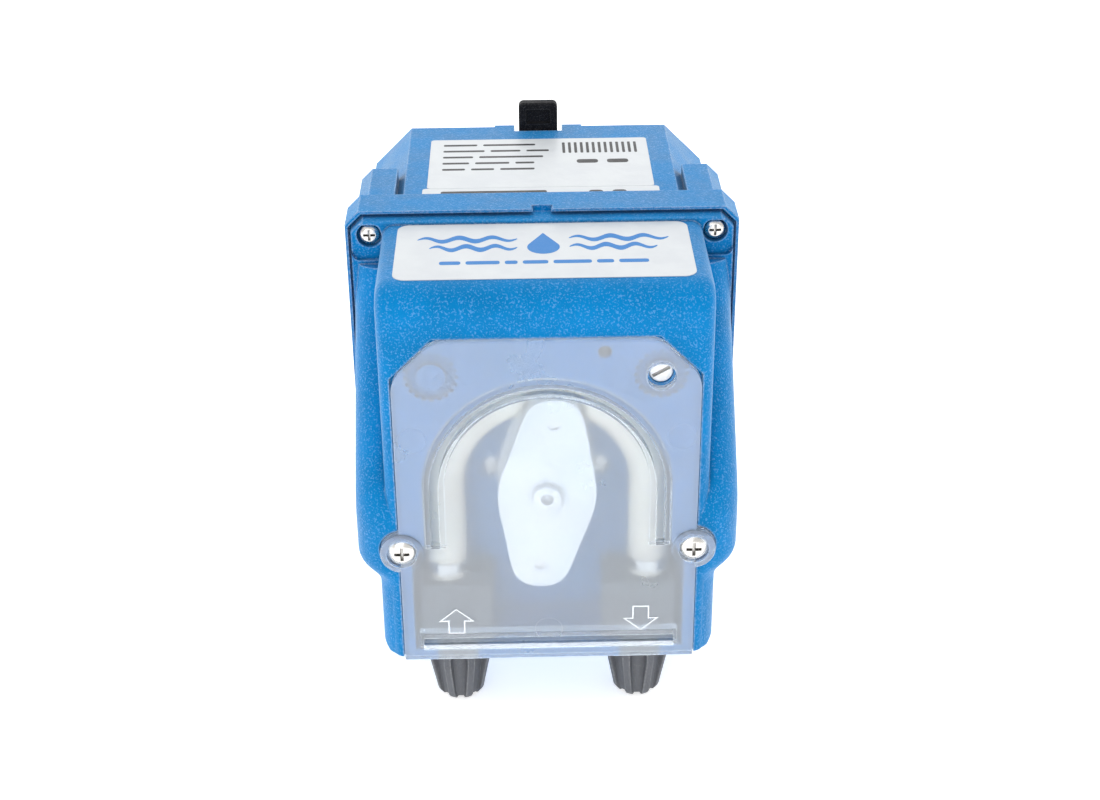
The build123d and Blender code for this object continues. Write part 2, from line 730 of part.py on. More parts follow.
def screw_set(label, screw, planes):
    """Copies one screw onto each plane and writes them as one node."""
    with BuildPart() as group:
        for plane in planes:
            add(plane.location * screw)
    save(group, label)


def all_screws():
    """Every group of like screws."""
    cover_screw = pan_screw(3.4, 1.8, 1.5, 11, 1.2)
    cover_planes = [facing(1.0, LUG_HEIGHT, side * LUG_X) for side in (-1, 1)]
    screw_set("cover_screws", cover_screw, cover_planes)
    case_screw = pan_screw(2.7, 1.9, 1.5, 20, 1.2)
    case_planes = [facing(LIP_DEPTH + 2.8, CASE_SCREW_HEIGHT, side * CASE_SCREW_X) for side in (-1, 1)]
    screw_set("case_screws", case_screw, case_planes)
    foot_screw = pan_screw(2.7, 1.9, 1.5, 13, 1.2)
    foot_planes = []
    for side in (-1, 1):
        foot_planes.append(
            Plane(
                origin=(side * FOOT_SCREW_X, 50 - FULL_DEPTH, BASE + FOOT_SCREW_HEIGHT),
                x_dir=(1, 0, 0),
                z_dir=(0, 1, 0),
            )
        )
    screw_set("foot_screws", foot_screw, foot_planes)
    board_screw = pan_screw(1.9, 1.2, 1.0, 7, 0.8)
    behind = PANEL_BOARD_DEPTH + BOARD_THICK - FULL_DEPTH
    board_planes = [
        Plane(origin=(x, behind, BASE + z), x_dir=(1, 0, 0), z_dir=(0, 1, 0))
        for x, z in panel_screw_places()
    ]
    board_planes += [level(POWER_BOARD_HEIGHT + BOARD_THICK, x, d) for x, d in power_screw_places()]
    screw_set("board_screws", board_screw, board_planes)
    gear_screw = pan_screw(GEAR_SCREW_HEAD, GEAR_SCREW_SINK - 0.2, 1.45, 2.8, 0.8)
    centre_x = [(GEARBOX_RADIUS - 3) * cos(radians(90 + 120 * k)) for k in range(3)]
    centre_z = [(GEARBOX_RADIUS - 3) * sin(radians(90 + 120 * k)) for k in range(3)]
    gear_planes = [
        facing(CHAMBER_DEPTH + GEAR_SCREW_SINK, GEARBOX_HEIGHT + z, x)
        for x, z in zip(centre_x, centre_z)
    ]
    screw_set("gearbox_screws", gear_screw, gear_planes)


def hose():
    """The pump hose, an arch of thick-walled tube flattened under the upper roller."""
    roller_x = PIN_CIRCLE * sin(radians(REST_TILT))
    roller_z = ROTOR_HEIGHT + PIN_CIRCLE * cos(radians(REST_TILT))
    foot = POCKET_FLOOR + BLOCK_H + 0.3
    with BuildPart() as tube:
        with BuildLine(facing(HOSE_DEPTH)):
            Line((-HOSE_PATH, foot), (-HOSE_PATH, ROTOR_HEIGHT))
            ThreePointArc(
                (-HOSE_PATH, ROTOR_HEIGHT), (0, ROTOR_HEIGHT + HOSE_PATH), (HOSE_PATH, ROTOR_HEIGHT)
            )
            Line((HOSE_PATH, ROTOR_HEIGHT), (HOSE_PATH, foot))
        with BuildSketch(level(foot, -HOSE_PATH, HOSE_DEPTH)):
            Circle(HOSE_RADIUS)
            Circle(HOSE_RADIUS - HOSE_WALL, mode=Mode.SUBTRACT)
        sweep()
        with BuildSketch(facing(HOSE_DEPTH + HOSE_RADIUS + 1)):
            with Locations((roller_x, roller_z)):
                Circle(ROLLER_RADIUS + 0.25)
        extrude(amount=2 * HOSE_RADIUS + 2, mode=Mode.SUBTRACT)
    save(tube, "pump_hose")


def connectors():
    """The two hose connectors, each with its block, neck, collar, thread and tube stub."""
    for name, side in (("suction", -1), ("discharge", 1)):
        x = side * PORT_X
        with BuildPart() as body:
            low = POCKET_FLOOR + 0.1
            with BuildSketch(level(low, x, HOSE_DEPTH)):
                RectangleRounded(BLOCK_W, 13.6, 1.2)
            extrude(amount=BLOCK_H - 0.1)
            with BuildSketch(level(-0.4, x, HOSE_DEPTH)):
                Rectangle(NECK_W, NECK_W)
            extrude(amount=low + 0.4)
            with BuildSketch(level(-0.3, x, HOSE_DEPTH)):
                RectangleRounded(COLLAR_W, COLLAR_W, 2)
            extrude(amount=-COLLAR_H)
            with BuildSketch(level(-0.3 - COLLAR_H, x, HOSE_DEPTH)):
                Circle(THREAD_RADIUS)
            extrude(amount=-THREAD_LENGTH)
            with BuildSketch(level(-0.3 - COLLAR_H - THREAD_LENGTH, x, HOSE_DEPTH)):
                Circle(STUB_RADIUS)
            extrude(amount=-(-STUB_END - 0.3 - COLLAR_H - THREAD_LENGTH))
            # stub inside the hose, offset outwards from the port
            with BuildSketch(level(low + BLOCK_H - 0.1, side * HOSE_PATH, HOSE_DEPTH)):
                Circle(HOSE_RADIUS - HOSE_WALL - 0.1)
            extrude(amount=7)
            # duct through the block
            with BuildSketch(level(STUB_END, x, HOSE_DEPTH)):
                Circle(BORE_RADIUS)
            extrude(amount=-STUB_END + BLOCK_H * 0.6, mode=Mode.SUBTRACT)
            with BuildSketch(level(BLOCK_H * 0.5, side * HOSE_PATH, HOSE_DEPTH)):
                Circle(2.2)
            extrude(amount=BLOCK_H, mode=Mode.SUBTRACT)
        save(body, f"{name}_connector")
        with BuildPart() as clip:
            with BuildSketch(level(POCKET_FLOOR + BLOCK_H + 2.2, side * HOSE_PATH, HOSE_DEPTH)):
                Circle(HOSE_RADIUS + 0.45)
                Circle(HOSE_RADIUS + 0.05, mode=Mode.SUBTRACT)
            extrude(amount=3.2)
        save(clip, f"{name}_clip")
        ring_nut(name, x)


def ring_nut(name, x):
    """A finned ring nut, and the grip ring inside it that it pushes onto the tube."""
    with BuildPart() as nut:
        length = NUT_TOP - NUT_BOTTOM
        with BuildSketch(level(NUT_TOP, x, HOSE_DEPTH)):
            Circle(NUT_RADIUS)
        with BuildSketch(level(NUT_BOTTOM, x, HOSE_DEPTH)):
            Circle(NUT_FOOT)
        loft()
        # fins, sloped like the body and cut off by a wider cone
        with BuildSketch(level(NUT_TOP, x, HOSE_DEPTH)):
            with PolarLocations(0, FIN_COUNT, start_angle=22.5):
                with Locations((NUT_RADIUS / 2 + FIN_HEIGHT / 2, 0)):
                    Rectangle(NUT_RADIUS + FIN_HEIGHT, FIN_WIDTH)
        extrude(amount=-length - 1.2)
        with BuildSketch(side_plane(x)):
            with BuildLine():
                Polyline(
                    (HOSE_DEPTH, NUT_TOP),
                    (HOSE_DEPTH + NUT_RADIUS + FIN_HEIGHT, NUT_TOP),
                    (HOSE_DEPTH + NUT_RADIUS + FIN_HEIGHT, NUT_TOP - 3),
                    (HOSE_DEPTH + NUT_FOOT + 0.9, NUT_BOTTOM + 0.6),
                    (HOSE_DEPTH + NUT_FOOT - 0.2, NUT_BOTTOM - 0.9),
                    (HOSE_DEPTH, NUT_BOTTOM - 0.9),
                    close=True,
                )
            make_face()
        axis = Axis((x, HOSE_DEPTH - FULL_DEPTH, BASE), (0, 0, 1))
        revolve(axis=axis, mode=Mode.INTERSECT)
        with BuildSketch(level(NUT_TOP, x, HOSE_DEPTH)):
            Circle(THREAD_RADIUS + RUNNING)
        extrude(amount=-THREAD_LENGTH - 2.6, mode=Mode.SUBTRACT)
        with BuildSketch(level(NUT_TOP, x, HOSE_DEPTH)):
            Circle(3.2)
        extrude(amount=-length - 2, mode=Mode.SUBTRACT)
    save(nut, f"{name}_nut")
    ring_top = -0.3 - COLLAR_H - THREAD_LENGTH - 0.1
    ring_low = NUT_TOP - THREAD_LENGTH - 2.6 + RUNNING
    with BuildPart() as ring:
        with BuildSketch(level(ring_low, x, HOSE_DEPTH)):
            Circle(THREAD_RADIUS - 0.15)
            Circle(3.05, mode=Mode.SUBTRACT)
        extrude(amount=ring_top - ring_low)
    save(ring, f"{name}_grip_ring")


def pin_place(upper):
    """The place of a roller pin in the upright plane."""
    angle = radians(REST_TILT)
    way = 1 if upper else -1
    return (way * PIN_CIRCLE * sin(angle), ROTOR_HEIGHT + way * PIN_CIRCLE * cos(angle))


def carrier_outline():
    """A rhombic oval: two broad round ends drawn to a wider middle."""
    reach = PIN_CIRCLE + ROLLER_RADIUS - 0.4
    quarter = (
        (0.7 * CARRIER_END, reach - 1.9),
        (CARRIER_END, reach - 6.6),
        (0.8 * CARRIER_HALF, 0.45 * reach),
    )
    right = [*quarter, (CARRIER_HALF, 0), *[(x, -y) for x, y in reversed(quarter)]]
    left = [(-x, -y) for x, y in right]
    with BuildLine() as outline:
        Spline((0, reach), *right, (0, -reach), *left, periodic=True)
    make_face(outline.edges())


def rotor():
    """The roller carrier, its pins and the two rollers."""
    with BuildPart() as front:
        with BuildSketch(facing(ROLLER_FRONT - 0.2, ROTOR_HEIGHT, 0, REST_TILT)):
            carrier_outline()
        extrude(amount=CARRIER_PLATE)
        with BuildSketch(facing(HOSE_DEPTH - 0.1, ROTOR_HEIGHT)):
            Circle(HUB_RADIUS)
        extrude(amount=HOSE_DEPTH - ROLLER_FRONT)
        with BuildSketch(facing(ROLLER_FRONT - 0.2 - CARRIER_PLATE, ROTOR_HEIGHT)):
            Circle(3.4)
        extrude(amount=1.9)
        with BuildSketch(facing(ROLLER_FRONT - 2.1 - CARRIER_PLATE, ROTOR_HEIGHT)):
            Circle(1.5)
        extrude(amount=-1.2, mode=Mode.SUBTRACT)
        shaft_bore(HOSE_DEPTH, HOSE_DEPTH - 6.0)
        with BuildSketch(facing(ROLLER_FRONT)):
            with Locations(pin_place(True), pin_place(False)):
                Circle(PIN_RADIUS + 0.02)
        extrude(amount=CARRIER_PLATE + 1, mode=Mode.SUBTRACT)
    save(front, "carrier_front")
    with BuildPart() as rear:
        rear_back = ROLLER_BACK + 0.2 + CARRIER_PLATE
        with BuildSketch(facing(rear_back, ROTOR_HEIGHT, 0, REST_TILT)):
            carrier_outline()
        extrude(amount=CARRIER_PLATE)
        with BuildSketch(facing(ROLLER_BACK + 1, ROTOR_HEIGHT)):
            Circle(HUB_RADIUS)
        extrude(amount=ROLLER_BACK + 1 - HOSE_DEPTH - 0.1)
        shaft_bore(ROLLER_BACK + 3, HOSE_DEPTH)
        with BuildSketch(facing(ROLLER_BACK + 3)):
            with Locations(pin_place(True), pin_place(False)):
                Circle(PIN_RADIUS + 0.02)
        extrude(amount=4, mode=Mode.SUBTRACT)
    save(rear, "carrier_rear")
    with BuildPart() as pins:
        with BuildSketch(facing(ROLLER_BACK + 0.2 + CARRIER_PLATE)):
            with Locations(pin_place(True), pin_place(False)):
                Circle(PIN_RADIUS)
        extrude(amount=ROLLER_LENGTH + 0.4 + 2 * CARRIER_PLATE - 0.4)
    save(pins, "roller_pins")
    for name, upper in (("upper_roller", True), ("lower_roller", False)):
        with BuildPart() as roller:
            with BuildSketch(facing(ROLLER_BACK)):
                with Locations(pin_place(upper)):
                    Circle(ROLLER_RADIUS)
            extrude(amount=ROLLER_LENGTH)
            fillet(roller.edges(), radius=0.6)
            with BuildSketch(facing(ROLLER_BACK)):
                with Locations(pin_place(upper)):
                    Circle(PIN_RADIUS + RUNNING)
            extrude(amount=ROLLER_LENGTH, mode=Mode.SUBTRACT)
        save(roller, name)


def shaft_bore(back, front):
    """A bore with a flat, for the output shaft."""
    with BuildSketch(facing(back, ROTOR_HEIGHT)) as bore:
        Circle(SHAFT_RADIUS + 0.02)
        with Locations((0, SHAFT_FLAT + 0.02 + SHAFT_RADIUS)):
            Rectangle(4 * SHAFT_RADIUS, 2 * SHAFT_RADIUS, mode=Mode.SUBTRACT)
    extrude(bore.sketch, amount=back - front, mode=Mode.SUBTRACT)


def gear_outline(teeth, phase):
    """A spur gear outline with straight-sided teeth that follow the involute's slope."""
    pitch = GEAR_MODULE * teeth / 2
    tip = pitch + 0.85 * GEAR_MODULE
    root = pitch - 1.15 * GEAR_MODULE
    half = (pi * GEAR_MODULE / 2 - BACKLASH) / 2 / pitch
    slope = tan(radians(PRESSURE_ANGLE))
    tip_half = half - (tip - pitch) * slope / tip * 1.1
    root_half = half + (pitch - root) * slope / root * 0.55
    with BuildLine() as outline:
        points = []
        for k in range(teeth):
            mid = 2 * pi * k / teeth + radians(phase)
            for radius, angle in (
                (root, mid - root_half),
                (pitch, mid - half),
                (tip, mid - tip_half),
                (tip, mid + tip_half),
                (pitch, mid + half),
                (root, mid + root_half),
            ):
                points.append((radius * cos(angle), radius * sin(angle)))
        Polyline(*points, close=True)
    make_face(outline.edges())


def gear_axes():
    """The gear axes in the upright plane: motor, first, second and output."""
    motor = (0.0, GEARBOX_HEIGHT)
    output = (0.0, ROTOR_HEIGHT)
    second_angle = radians(21.3)
    second = (
        GEAR_CENTRES * cos(second_angle),
        ROTOR_HEIGHT + GEAR_CENTRES * sin(second_angle),
    )
    span = sqrt((second[0] - motor[0]) ** 2 + (second[1] - motor[1]) ** 2)
    turn = atan2(second[1] - motor[1], second[0] - motor[0]) + acos(span / 2 / GEAR_CENTRES)
    first = (motor[0] + GEAR_CENTRES * cos(turn), motor[1] + GEAR_CENTRES * sin(turn))
    return motor, first, second, output


def mesh_phase(driver, driver_phase, driver_teeth, driven, driven_teeth):
    """The phase in degrees of a gear that meshes with a driver of a known phase."""
    way = degrees(atan2(driven[1] - driver[1], driven[0] - driver[0]))
    into = (way - driver_phase) * driver_teeth / driven_teeth
    return way + 180 + into + 180 / driven_teeth


def gear_disc(centre, teeth, phase, back, thick):
    """One gear, from its back depth towards the front."""
    with BuildSketch(facing(back, centre[1], centre[0])) as disc:
        gear_outline(teeth, phase)
    extrude(disc.sketch, amount=thick)


def gear_train():
    """Motor pinion, two compound gears and the output gear with its shaft."""
    motor, first, second, output = gear_axes()
    layer = [GEARBOX_BACK - 1.4 - k * GEAR_PITCH for k in range(3)]
    pinion_phase = 0.0
    first_phase = mesh_phase(motor, pinion_phase, PINION_TEETH, first, WHEEL_TEETH)
    first_pinion = 0.0
    second_phase = mesh_phase(first, first_pinion, PINION_TEETH, second, WHEEL_TEETH)
    second_pinion = 0.0
    output_phase = mesh_phase(second, second_pinion, PINION_TEETH, output, WHEEL_TEETH)
    compounds = (
        ("first_gear", first, first_phase, first_pinion, layer[0]),
        ("second_gear", second, second_phase, second_pinion, layer[1]),
    )
    for name, centre, wheel, small, back in compounds:
        with BuildPart() as gear:
            gear_disc(centre, WHEEL_TEETH, wheel, back, GEAR_THICK)
            gear_disc(centre, PINION_TEETH, small, back, GEAR_PITCH + GEAR_THICK)
            with BuildSketch(facing(back)):
                with Locations(centre):
                    Circle(AXLE_RADIUS + RUNNING)
            extrude(amount=GEAR_PITCH + GEAR_THICK, mode=Mode.SUBTRACT)
        save(gear, name)
    with BuildPart() as big:
        gear_disc(output, WHEEL_TEETH, output_phase, layer[2], GEAR_THICK)
        with BuildSketch(facing(layer[2])):
            with Locations(output):
                Circle(SHAFT_RADIUS)
        extrude(amount=GEAR_THICK, mode=Mode.SUBTRACT)
    save(big, "output_gear")
    with BuildPart() as shaft:
        front = HOSE_DEPTH - 5.8
        with BuildSketch(facing(layer[2])):
            with Locations(output):
                Circle(SHAFT_RADIUS)
        extrude(amount=layer[2] - front)
        with BuildSketch(facing(ROLLER_BACK + CARRIER_PLATE + 0.6)):
            with Locations((0, ROTOR_HEIGHT + SHAFT_FLAT + SHAFT_RADIUS)):
                Rectangle(4 * SHAFT_RADIUS, 2 * SHAFT_RADIUS)
        extrude(amount=ROLLER_BACK + CARRIER_PLATE + 0.6 - front, mode=Mode.SUBTRACT)
        chamfer(shaft.edges().filter_by(GeomType.CIRCLE).sort_by(Axis.Y)[-1], length=0.3)
    save(shaft, "output_shaft")
    with BuildPart() as pinion:
        gear_disc(motor, PINION_TEETH, pinion_phase, layer[0], GEAR_THICK)
        with BuildSketch(facing(layer[0])):
            with Locations(motor):
                Circle(1.0)
        extrude(amount=GEAR_THICK, mode=Mode.SUBTRACT)
    save(pinion, "motor_pinion")
    with BuildPart() as axles:
        for centre in (first, second):
            with BuildSketch(facing(GEARBOX_BACK)):
                with Locations(centre):
                    Circle(AXLE_RADIUS)
            extrude(amount=GEARBOX_BACK - GEARBOX_FRONT + 1.2)
    save(axles, "gear_axles")
    gearbox(first, second)


def gearbox(first, second):
    """The gearbox: front plate with bush, and the can that carries the motor."""
    with BuildPart() as plate:
        with BuildSketch(facing(GEARBOX_FRONT, GEARBOX_HEIGHT)):
            Circle(GEARBOX_RADIUS)
        extrude(amount=PLATE_THICK)
        with BuildSketch(facing(GEARBOX_FRONT)):
            with Locations((0, ROTOR_HEIGHT)):
                Circle(HUB_RADIUS)
        extrude(amount=PLATE_THICK + CHAMBER_FLOOR - 0.6)
        with BuildSketch(facing(GEARBOX_FRONT)):
            with Locations((0, ROTOR_HEIGHT)):
                Circle(4.5)
            with Locations((0, GEARBOX_HEIGHT)):
                with PolarLocations(GEARBOX_RADIUS - 3, 3, start_angle=90):
                    Circle(1.5)
        extrude(amount=PLATE_THICK + CHAMBER_FLOOR, mode=Mode.SUBTRACT)
        with BuildSketch(facing(GEARBOX_FRONT)):
            with Locations(first, second):
                Circle(AXLE_RADIUS + 0.02)
        extrude(amount=1.3, mode=Mode.SUBTRACT)
    save(plate, "gearbox_plate")
    with BuildPart() as bush:
        with BuildSketch(facing(GEARBOX_FRONT)):
            with Locations((0, ROTOR_HEIGHT)):
                Circle(4.5)
                Circle(SHAFT_RADIUS + RUNNING, mode=Mode.SUBTRACT)
        extrude(amount=PLATE_THICK + CHAMBER_FLOOR - 0.6)
    save(bush, "shaft_bush")
    with BuildPart() as can:
        with BuildSketch(facing(GEARBOX_BACK, GEARBOX_HEIGHT)):
            Circle(GEARBOX_RADIUS)
        extrude(amount=GEARBOX_BACK - GEARBOX_FRONT)
        fillet(can.edges().sort_by(Axis.Y)[-1], radius=1.0)
        with BuildSketch(facing(GEARBOX_BACK - GEARBOX_WALL, GEARBOX_HEIGHT)):
            Circle(GEARBOX_RADIUS - GEARBOX_WALL)
        extrude(amount=GEARBOX_BACK, mode=Mode.SUBTRACT)
        with BuildSketch(facing(GEARBOX_BACK, GEARBOX_HEIGHT)):
            Circle(3.2)
        extrude(amount=GEARBOX_WALL, mode=Mode.SUBTRACT)
        with BuildSketch(facing(GEARBOX_BACK)):
            with Locations(first, second):
                Circle(AXLE_RADIUS + 0.02)
        extrude(amount=GEARBOX_WALL, mode=Mode.SUBTRACT)
    save(can, "gearbox_can")


def motor():
    """The motor: can, bushes, magnets, armature with its shaft, end bell and tags."""
    with BuildPart() as can:
        with BuildSketch(facing(MOTOR_BACK, GEARBOX_HEIGHT)):
            Circle(MOTOR_RADIUS)
            Circle(MOTOR_RADIUS - MOTOR_WALL, mode=Mode.SUBTRACT)
        extrude(amount=MOTOR_LENGTH)
        with BuildSketch(facing(GEARBOX_BACK + MOTOR_WALL, GEARBOX_HEIGHT)):
            Circle(MOTOR_RADIUS - MOTOR_WALL / 2)
            Circle(3.0, mode=Mode.SUBTRACT)
        extrude(amount=MOTOR_WALL)
        chamfer(can.edges().filter_by(GeomType.CIRCLE).sort_by(Axis.Y)[-1], length=0.3)
    save(can, "motor_can")
    with BuildPart() as bushes:
        for back in (GEARBOX_BACK + 3.0, MOTOR_BACK + 1.0):
            with BuildSketch(facing(back, GEARBOX_HEIGHT)):
                Circle(3.0)
                Circle(1.0 + RUNNING, mode=Mode.SUBTRACT)
            extrude(amount=3.0)
    save(bushes, "motor_bushes")
    with BuildPart() as magnets:
        with BuildSketch(facing(MOTOR_BACK - 5, GEARBOX_HEIGHT)):
            Circle(MOTOR_RADIUS - MOTOR_WALL)
            Circle(MOTOR_RADIUS - MOTOR_WALL - 2.8, mode=Mode.SUBTRACT)
            Rectangle(9, 3 * MOTOR_RADIUS, mode=Mode.SUBTRACT)
        extrude(amount=20)
    save(magnets, "motor_magnets")
    with BuildPart() as armature:
        with BuildSketch(facing(MOTOR_BACK - 6, GEARBOX_HEIGHT)):
            Circle(MOTOR_RADIUS - MOTOR_WALL - 3.3)
            with PolarLocations(MOTOR_RADIUS - MOTOR_WALL - 5.0, 3):
                Rectangle(4.6, 1.6, mode=Mode.SUBTRACT)
        extrude(amount=18)
        with BuildSketch(facing(MOTOR_BACK - 2.2, GEARBOX_HEIGHT)):
            Circle(2.6)
        extrude(amount=5)
        with BuildSketch(facing(MOTOR_BACK + 0.8, GEARBOX_HEIGHT)):
            Circle(1.0)
        extrude(amount=MOTOR_LENGTH + 0.8 + 1.4 + GEAR_THICK)
    save(armature, "motor_armature")
    with BuildPart() as bell:
        with BuildSketch(facing(MOTOR_BACK + 1.8, GEARBOX_HEIGHT)):
            Circle(MOTOR_RADIUS)
        extrude(amount=1.8)
        with BuildSketch(facing(MOTOR_BACK, GEARBOX_HEIGHT)):
            Circle(MOTOR_RADIUS - MOTOR_WALL - 0.05)
            Circle(MOTOR_RADIUS - MOTOR_WALL - 2, mode=Mode.SUBTRACT)
        extrude(amount=2)
        with BuildSketch(facing(MOTOR_BACK + 1.0, GEARBOX_HEIGHT)):
            Circle(3.0)
        extrude(amount=3.0, mode=Mode.SUBTRACT)
        with BuildSketch(facing(MOTOR_BACK + 1.8, GEARBOX_HEIGHT)):
            with Locations((8, 0), (-8, 0)):
                Rectangle(0.6, 3.0)
        extrude(amount=1.8, mode=Mode.SUBTRACT)
    save(bell, "motor_end_bell")
    with BuildPart() as tags:
        with BuildSketch(facing(MOTOR_BACK + 5.5, GEARBOX_HEIGHT)):
            with Locations((8, 0), (-8, 0)):
                Rectangle(0.5, 2.8)
        extrude(amount=5.5)
    save(tags, "motor_tags")


def panel_board():
    """The board behind the panel wall, its dial and its light."""
    with BuildPart() as board:
        with BuildSketch(facing(PANEL_BOARD_DEPTH + BOARD_THICK)):
            with Locations((0, 84.5)):
                Rectangle(71, 28)
            with Locations((0, ROTOR_HEIGHT)):
                Circle(TRACK_RADIUS + CHAMBER_FLOOR + 1, mode=Mode.SUBTRACT)
            with Locations(*panel_screw_places()):
                Circle(1.1, mode=Mode.SUBTRACT)
        extrude(amount=BOARD_THICK)
    save(board, "panel_board")
    with BuildPart() as dial:
        with BuildSketch(facing(PANEL_BOARD_DEPTH, DIAL_HEIGHT, DIAL_X)):
            RectangleRounded(9.5, 9.5, 0.6)
        extrude(amount=PANEL_BOARD_DEPTH - FACE_DEPTH - PANEL_WALL - 0.4)
        with BuildSketch(facing(FACE_DEPTH + PANEL_WALL + 2.4, DIAL_HEIGHT, DIAL_X)):
            Circle(2.9)
        extrude(amount=3, mode=Mode.SUBTRACT)
        with BuildSketch(facing(PANEL_BOARD_DEPTH, DIAL_HEIGHT, DIAL_X)):
            Circle(1.0)
        extrude(amount=8, mode=Mode.SUBTRACT)
    save(dial, "trimmer_body")
    with BuildPart() as disc:
        with BuildSketch(facing(FACE_DEPTH + PANEL_WALL + 2.3, DIAL_HEIGHT, DIAL_X)):
            Circle(2.8)
        extrude(amount=FACE_DEPTH + PANEL_WALL + 2.3 - 3.0)
        chamfer(disc.edges().sort_by(Axis.Y)[0], length=0.25)
        with BuildSketch(facing(3.0, DIAL_HEIGHT, DIAL_X)):
            Rectangle(0.9, 4.6, rotation=-60)
        extrude(amount=-0.9, mode=Mode.SUBTRACT)
        with BuildSketch(facing(PANEL_BOARD_DEPTH - 0.4, DIAL_HEIGHT, DIAL_X)):
            Circle(0.95)
        extrude(amount=PANEL_BOARD_DEPTH - 0.4 - FACE_DEPTH - PANEL_WALL - 1)
    save(disc, "trimmer_screw")
    with BuildPart() as lamp:
        with BuildSketch(facing(PANEL_BOARD_DEPTH, LED_HEIGHT, LED_X)):
            Circle(LED_RADIUS)
        extrude(amount=PANEL_BOARD_DEPTH - 3.0)
        fillet(lamp.edges().sort_by(Axis.Y)[0], radius=1.2)
        with BuildSketch(facing(PANEL_BOARD_DEPTH, LED_HEIGHT, LED_X)):
            Circle(LED_RADIUS + 0.5)
        extrude(amount=1.2)
    save(lamp, "status_lamp")


def power_board():
    """The mains board in the rear box with its parts."""
    top = POWER_BOARD_HEIGHT + BOARD_THICK
    with BuildPart() as board:
        with BuildSketch(level(POWER_BOARD_HEIGHT, 0, 66)):
            Rectangle(70, 30)
        extrude(amount=BOARD_THICK)
        with BuildSketch(level(POWER_BOARD_HEIGHT)):
            with Locations(*power_screw_places()):
                Circle(1.1)
        extrude(amount=BOARD_THICK, mode=Mode.SUBTRACT)
    save(board, "power_board")
    with BuildPart() as coil:
        with BuildSketch(level(top, -6, 66)):
            RectangleRounded(30, 25, 1)
        extrude(amount=19)
        fillet(coil.faces().sort_by(Axis.Z)[-1].edges(), radius=0.8)
    save(coil, "transformer")
    with BuildPart() as cap:
        with BuildSketch(level(top, 17, 66)):
            Circle(5)
        extrude(amount=16)
        fillet(cap.edges().sort_by(Axis.Z)[-1], radius=0.6)
    save(cap, "capacitor")
    with BuildPart() as block:
        with BuildSketch(level(top, 29, 66)):
            Rectangle(8.4, 15.6)
        extrude(amount=10.4)
        with BuildSketch(level(top + 10.4, 29, 66)):
            with Locations((0, -5.1), (0, 0), (0, 5.1)):
                Circle(1.8)
        extrude(amount=-4, mode=Mode.SUBTRACT)
    save(block, "terminal_block")
    with BuildPart() as screws:
        with BuildSketch(level(top + 6.4, 29, 66)):
            with Locations((0, -5.1), (0, 0), (0, 5.1)):
                Circle(1.7)
        extrude(amount=2.6)
        with BuildSketch(level(top + 9.0, 29, 66)):
            with Locations((0, -5.1), (0, 0), (0, 5.1)):
                Rectangle(3.0, 0.6)
        extrude(amount=-0.8, mode=Mode.SUBTRACT)
    save(screws, "terminal_screws")
    with BuildPart() as fuse:
        with BuildSketch(level(top, -28.5, 66)):
            Rectangle(7, 16)
        extrude(amount=8)
        fillet(fuse.faces().sort_by(Axis.Z)[-1].edges(), radius=0.8)
    save(fuse, "fuse_holder")


def cable_gland():
    """The gland under the rear box: body, lock nut inside, seal and cap."""
    with BuildPart() as body:
        with BuildSketch(level(2.0, 0, GLAND_DEPTH)):
            RegularPolygon(8.6, 6)
        extrude(amount=-4)
        with BuildSketch(level(2.0, 0, GLAND_DEPTH)):
            Circle(GLAND_THREAD)
        extrude(amount=WALL + 6)
        with BuildSketch(level(-2.0, 0, GLAND_DEPTH)):
            Circle(6.2)
        extrude(amount=-5)
        with BuildSketch(level(-7, 0, GLAND_DEPTH)):
            Circle(4.4)
        extrude(amount=20, mode=Mode.SUBTRACT)
    save(body, "gland_body")
    with BuildPart() as nut:
        with BuildSketch(level(2.0 + WALL, 0, GLAND_DEPTH)):
            RegularPolygon(8.6, 6)
            Circle(GLAND_THREAD + RUNNING, mode=Mode.SUBTRACT)
        extrude(amount=4)
    save(nut, "gland_lock_nut")
    with BuildPart() as cap:
        with BuildSketch(level(-2.1, 0, GLAND_DEPTH)):
            RegularPolygon(8.6, 6)
        extrude(amount=-6.0)
        with BuildSketch(level(-8.1, 0, GLAND_DEPTH)):
            Circle(7.2)
        extrude(amount=-2.4, taper=35)
        with BuildSketch(level(-2.1, 0, GLAND_DEPTH)):
            Circle(6.2 + RUNNING)
        extrude(amount=-5.2, mode=Mode.SUBTRACT)
        with BuildSketch(level(0, 0, GLAND_DEPTH)):
            Circle(4.0)
        extrude(amount=-12, mode=Mode.SUBTRACT)
    save(cap, "gland_cap")
    with BuildPart() as seal:
        with BuildSketch(level(-1.5, 0, GLAND_DEPTH)):
            Circle(4.35)
            Circle(3.2, mode=Mode.SUBTRACT)
        extrude(amount=-5.4)
    save(seal, "gland_seal")


def labels():
    """The blank label plates on the front block and on the rear box."""
    sheets = (
        ("front_label", 70.5, 31.3, 23.4, BODY_TOP),
        ("rear_label", 58.2, 34.0, REAR_LABEL_DEPTH, BODY_TOP),
        ("rear_label_strip", 60.4, 8.4, STRIP_DEPTH, BODY_TOP),
    )
    for name, width, length, depth, height in sheets:
        with BuildPart() as sheet:
            with BuildSketch(level(height, 0, depth)):
                RectangleRounded(width, length, 3 if name == "front_label" else 1)
            extrude(amount=0.15)
        save(sheet, name)


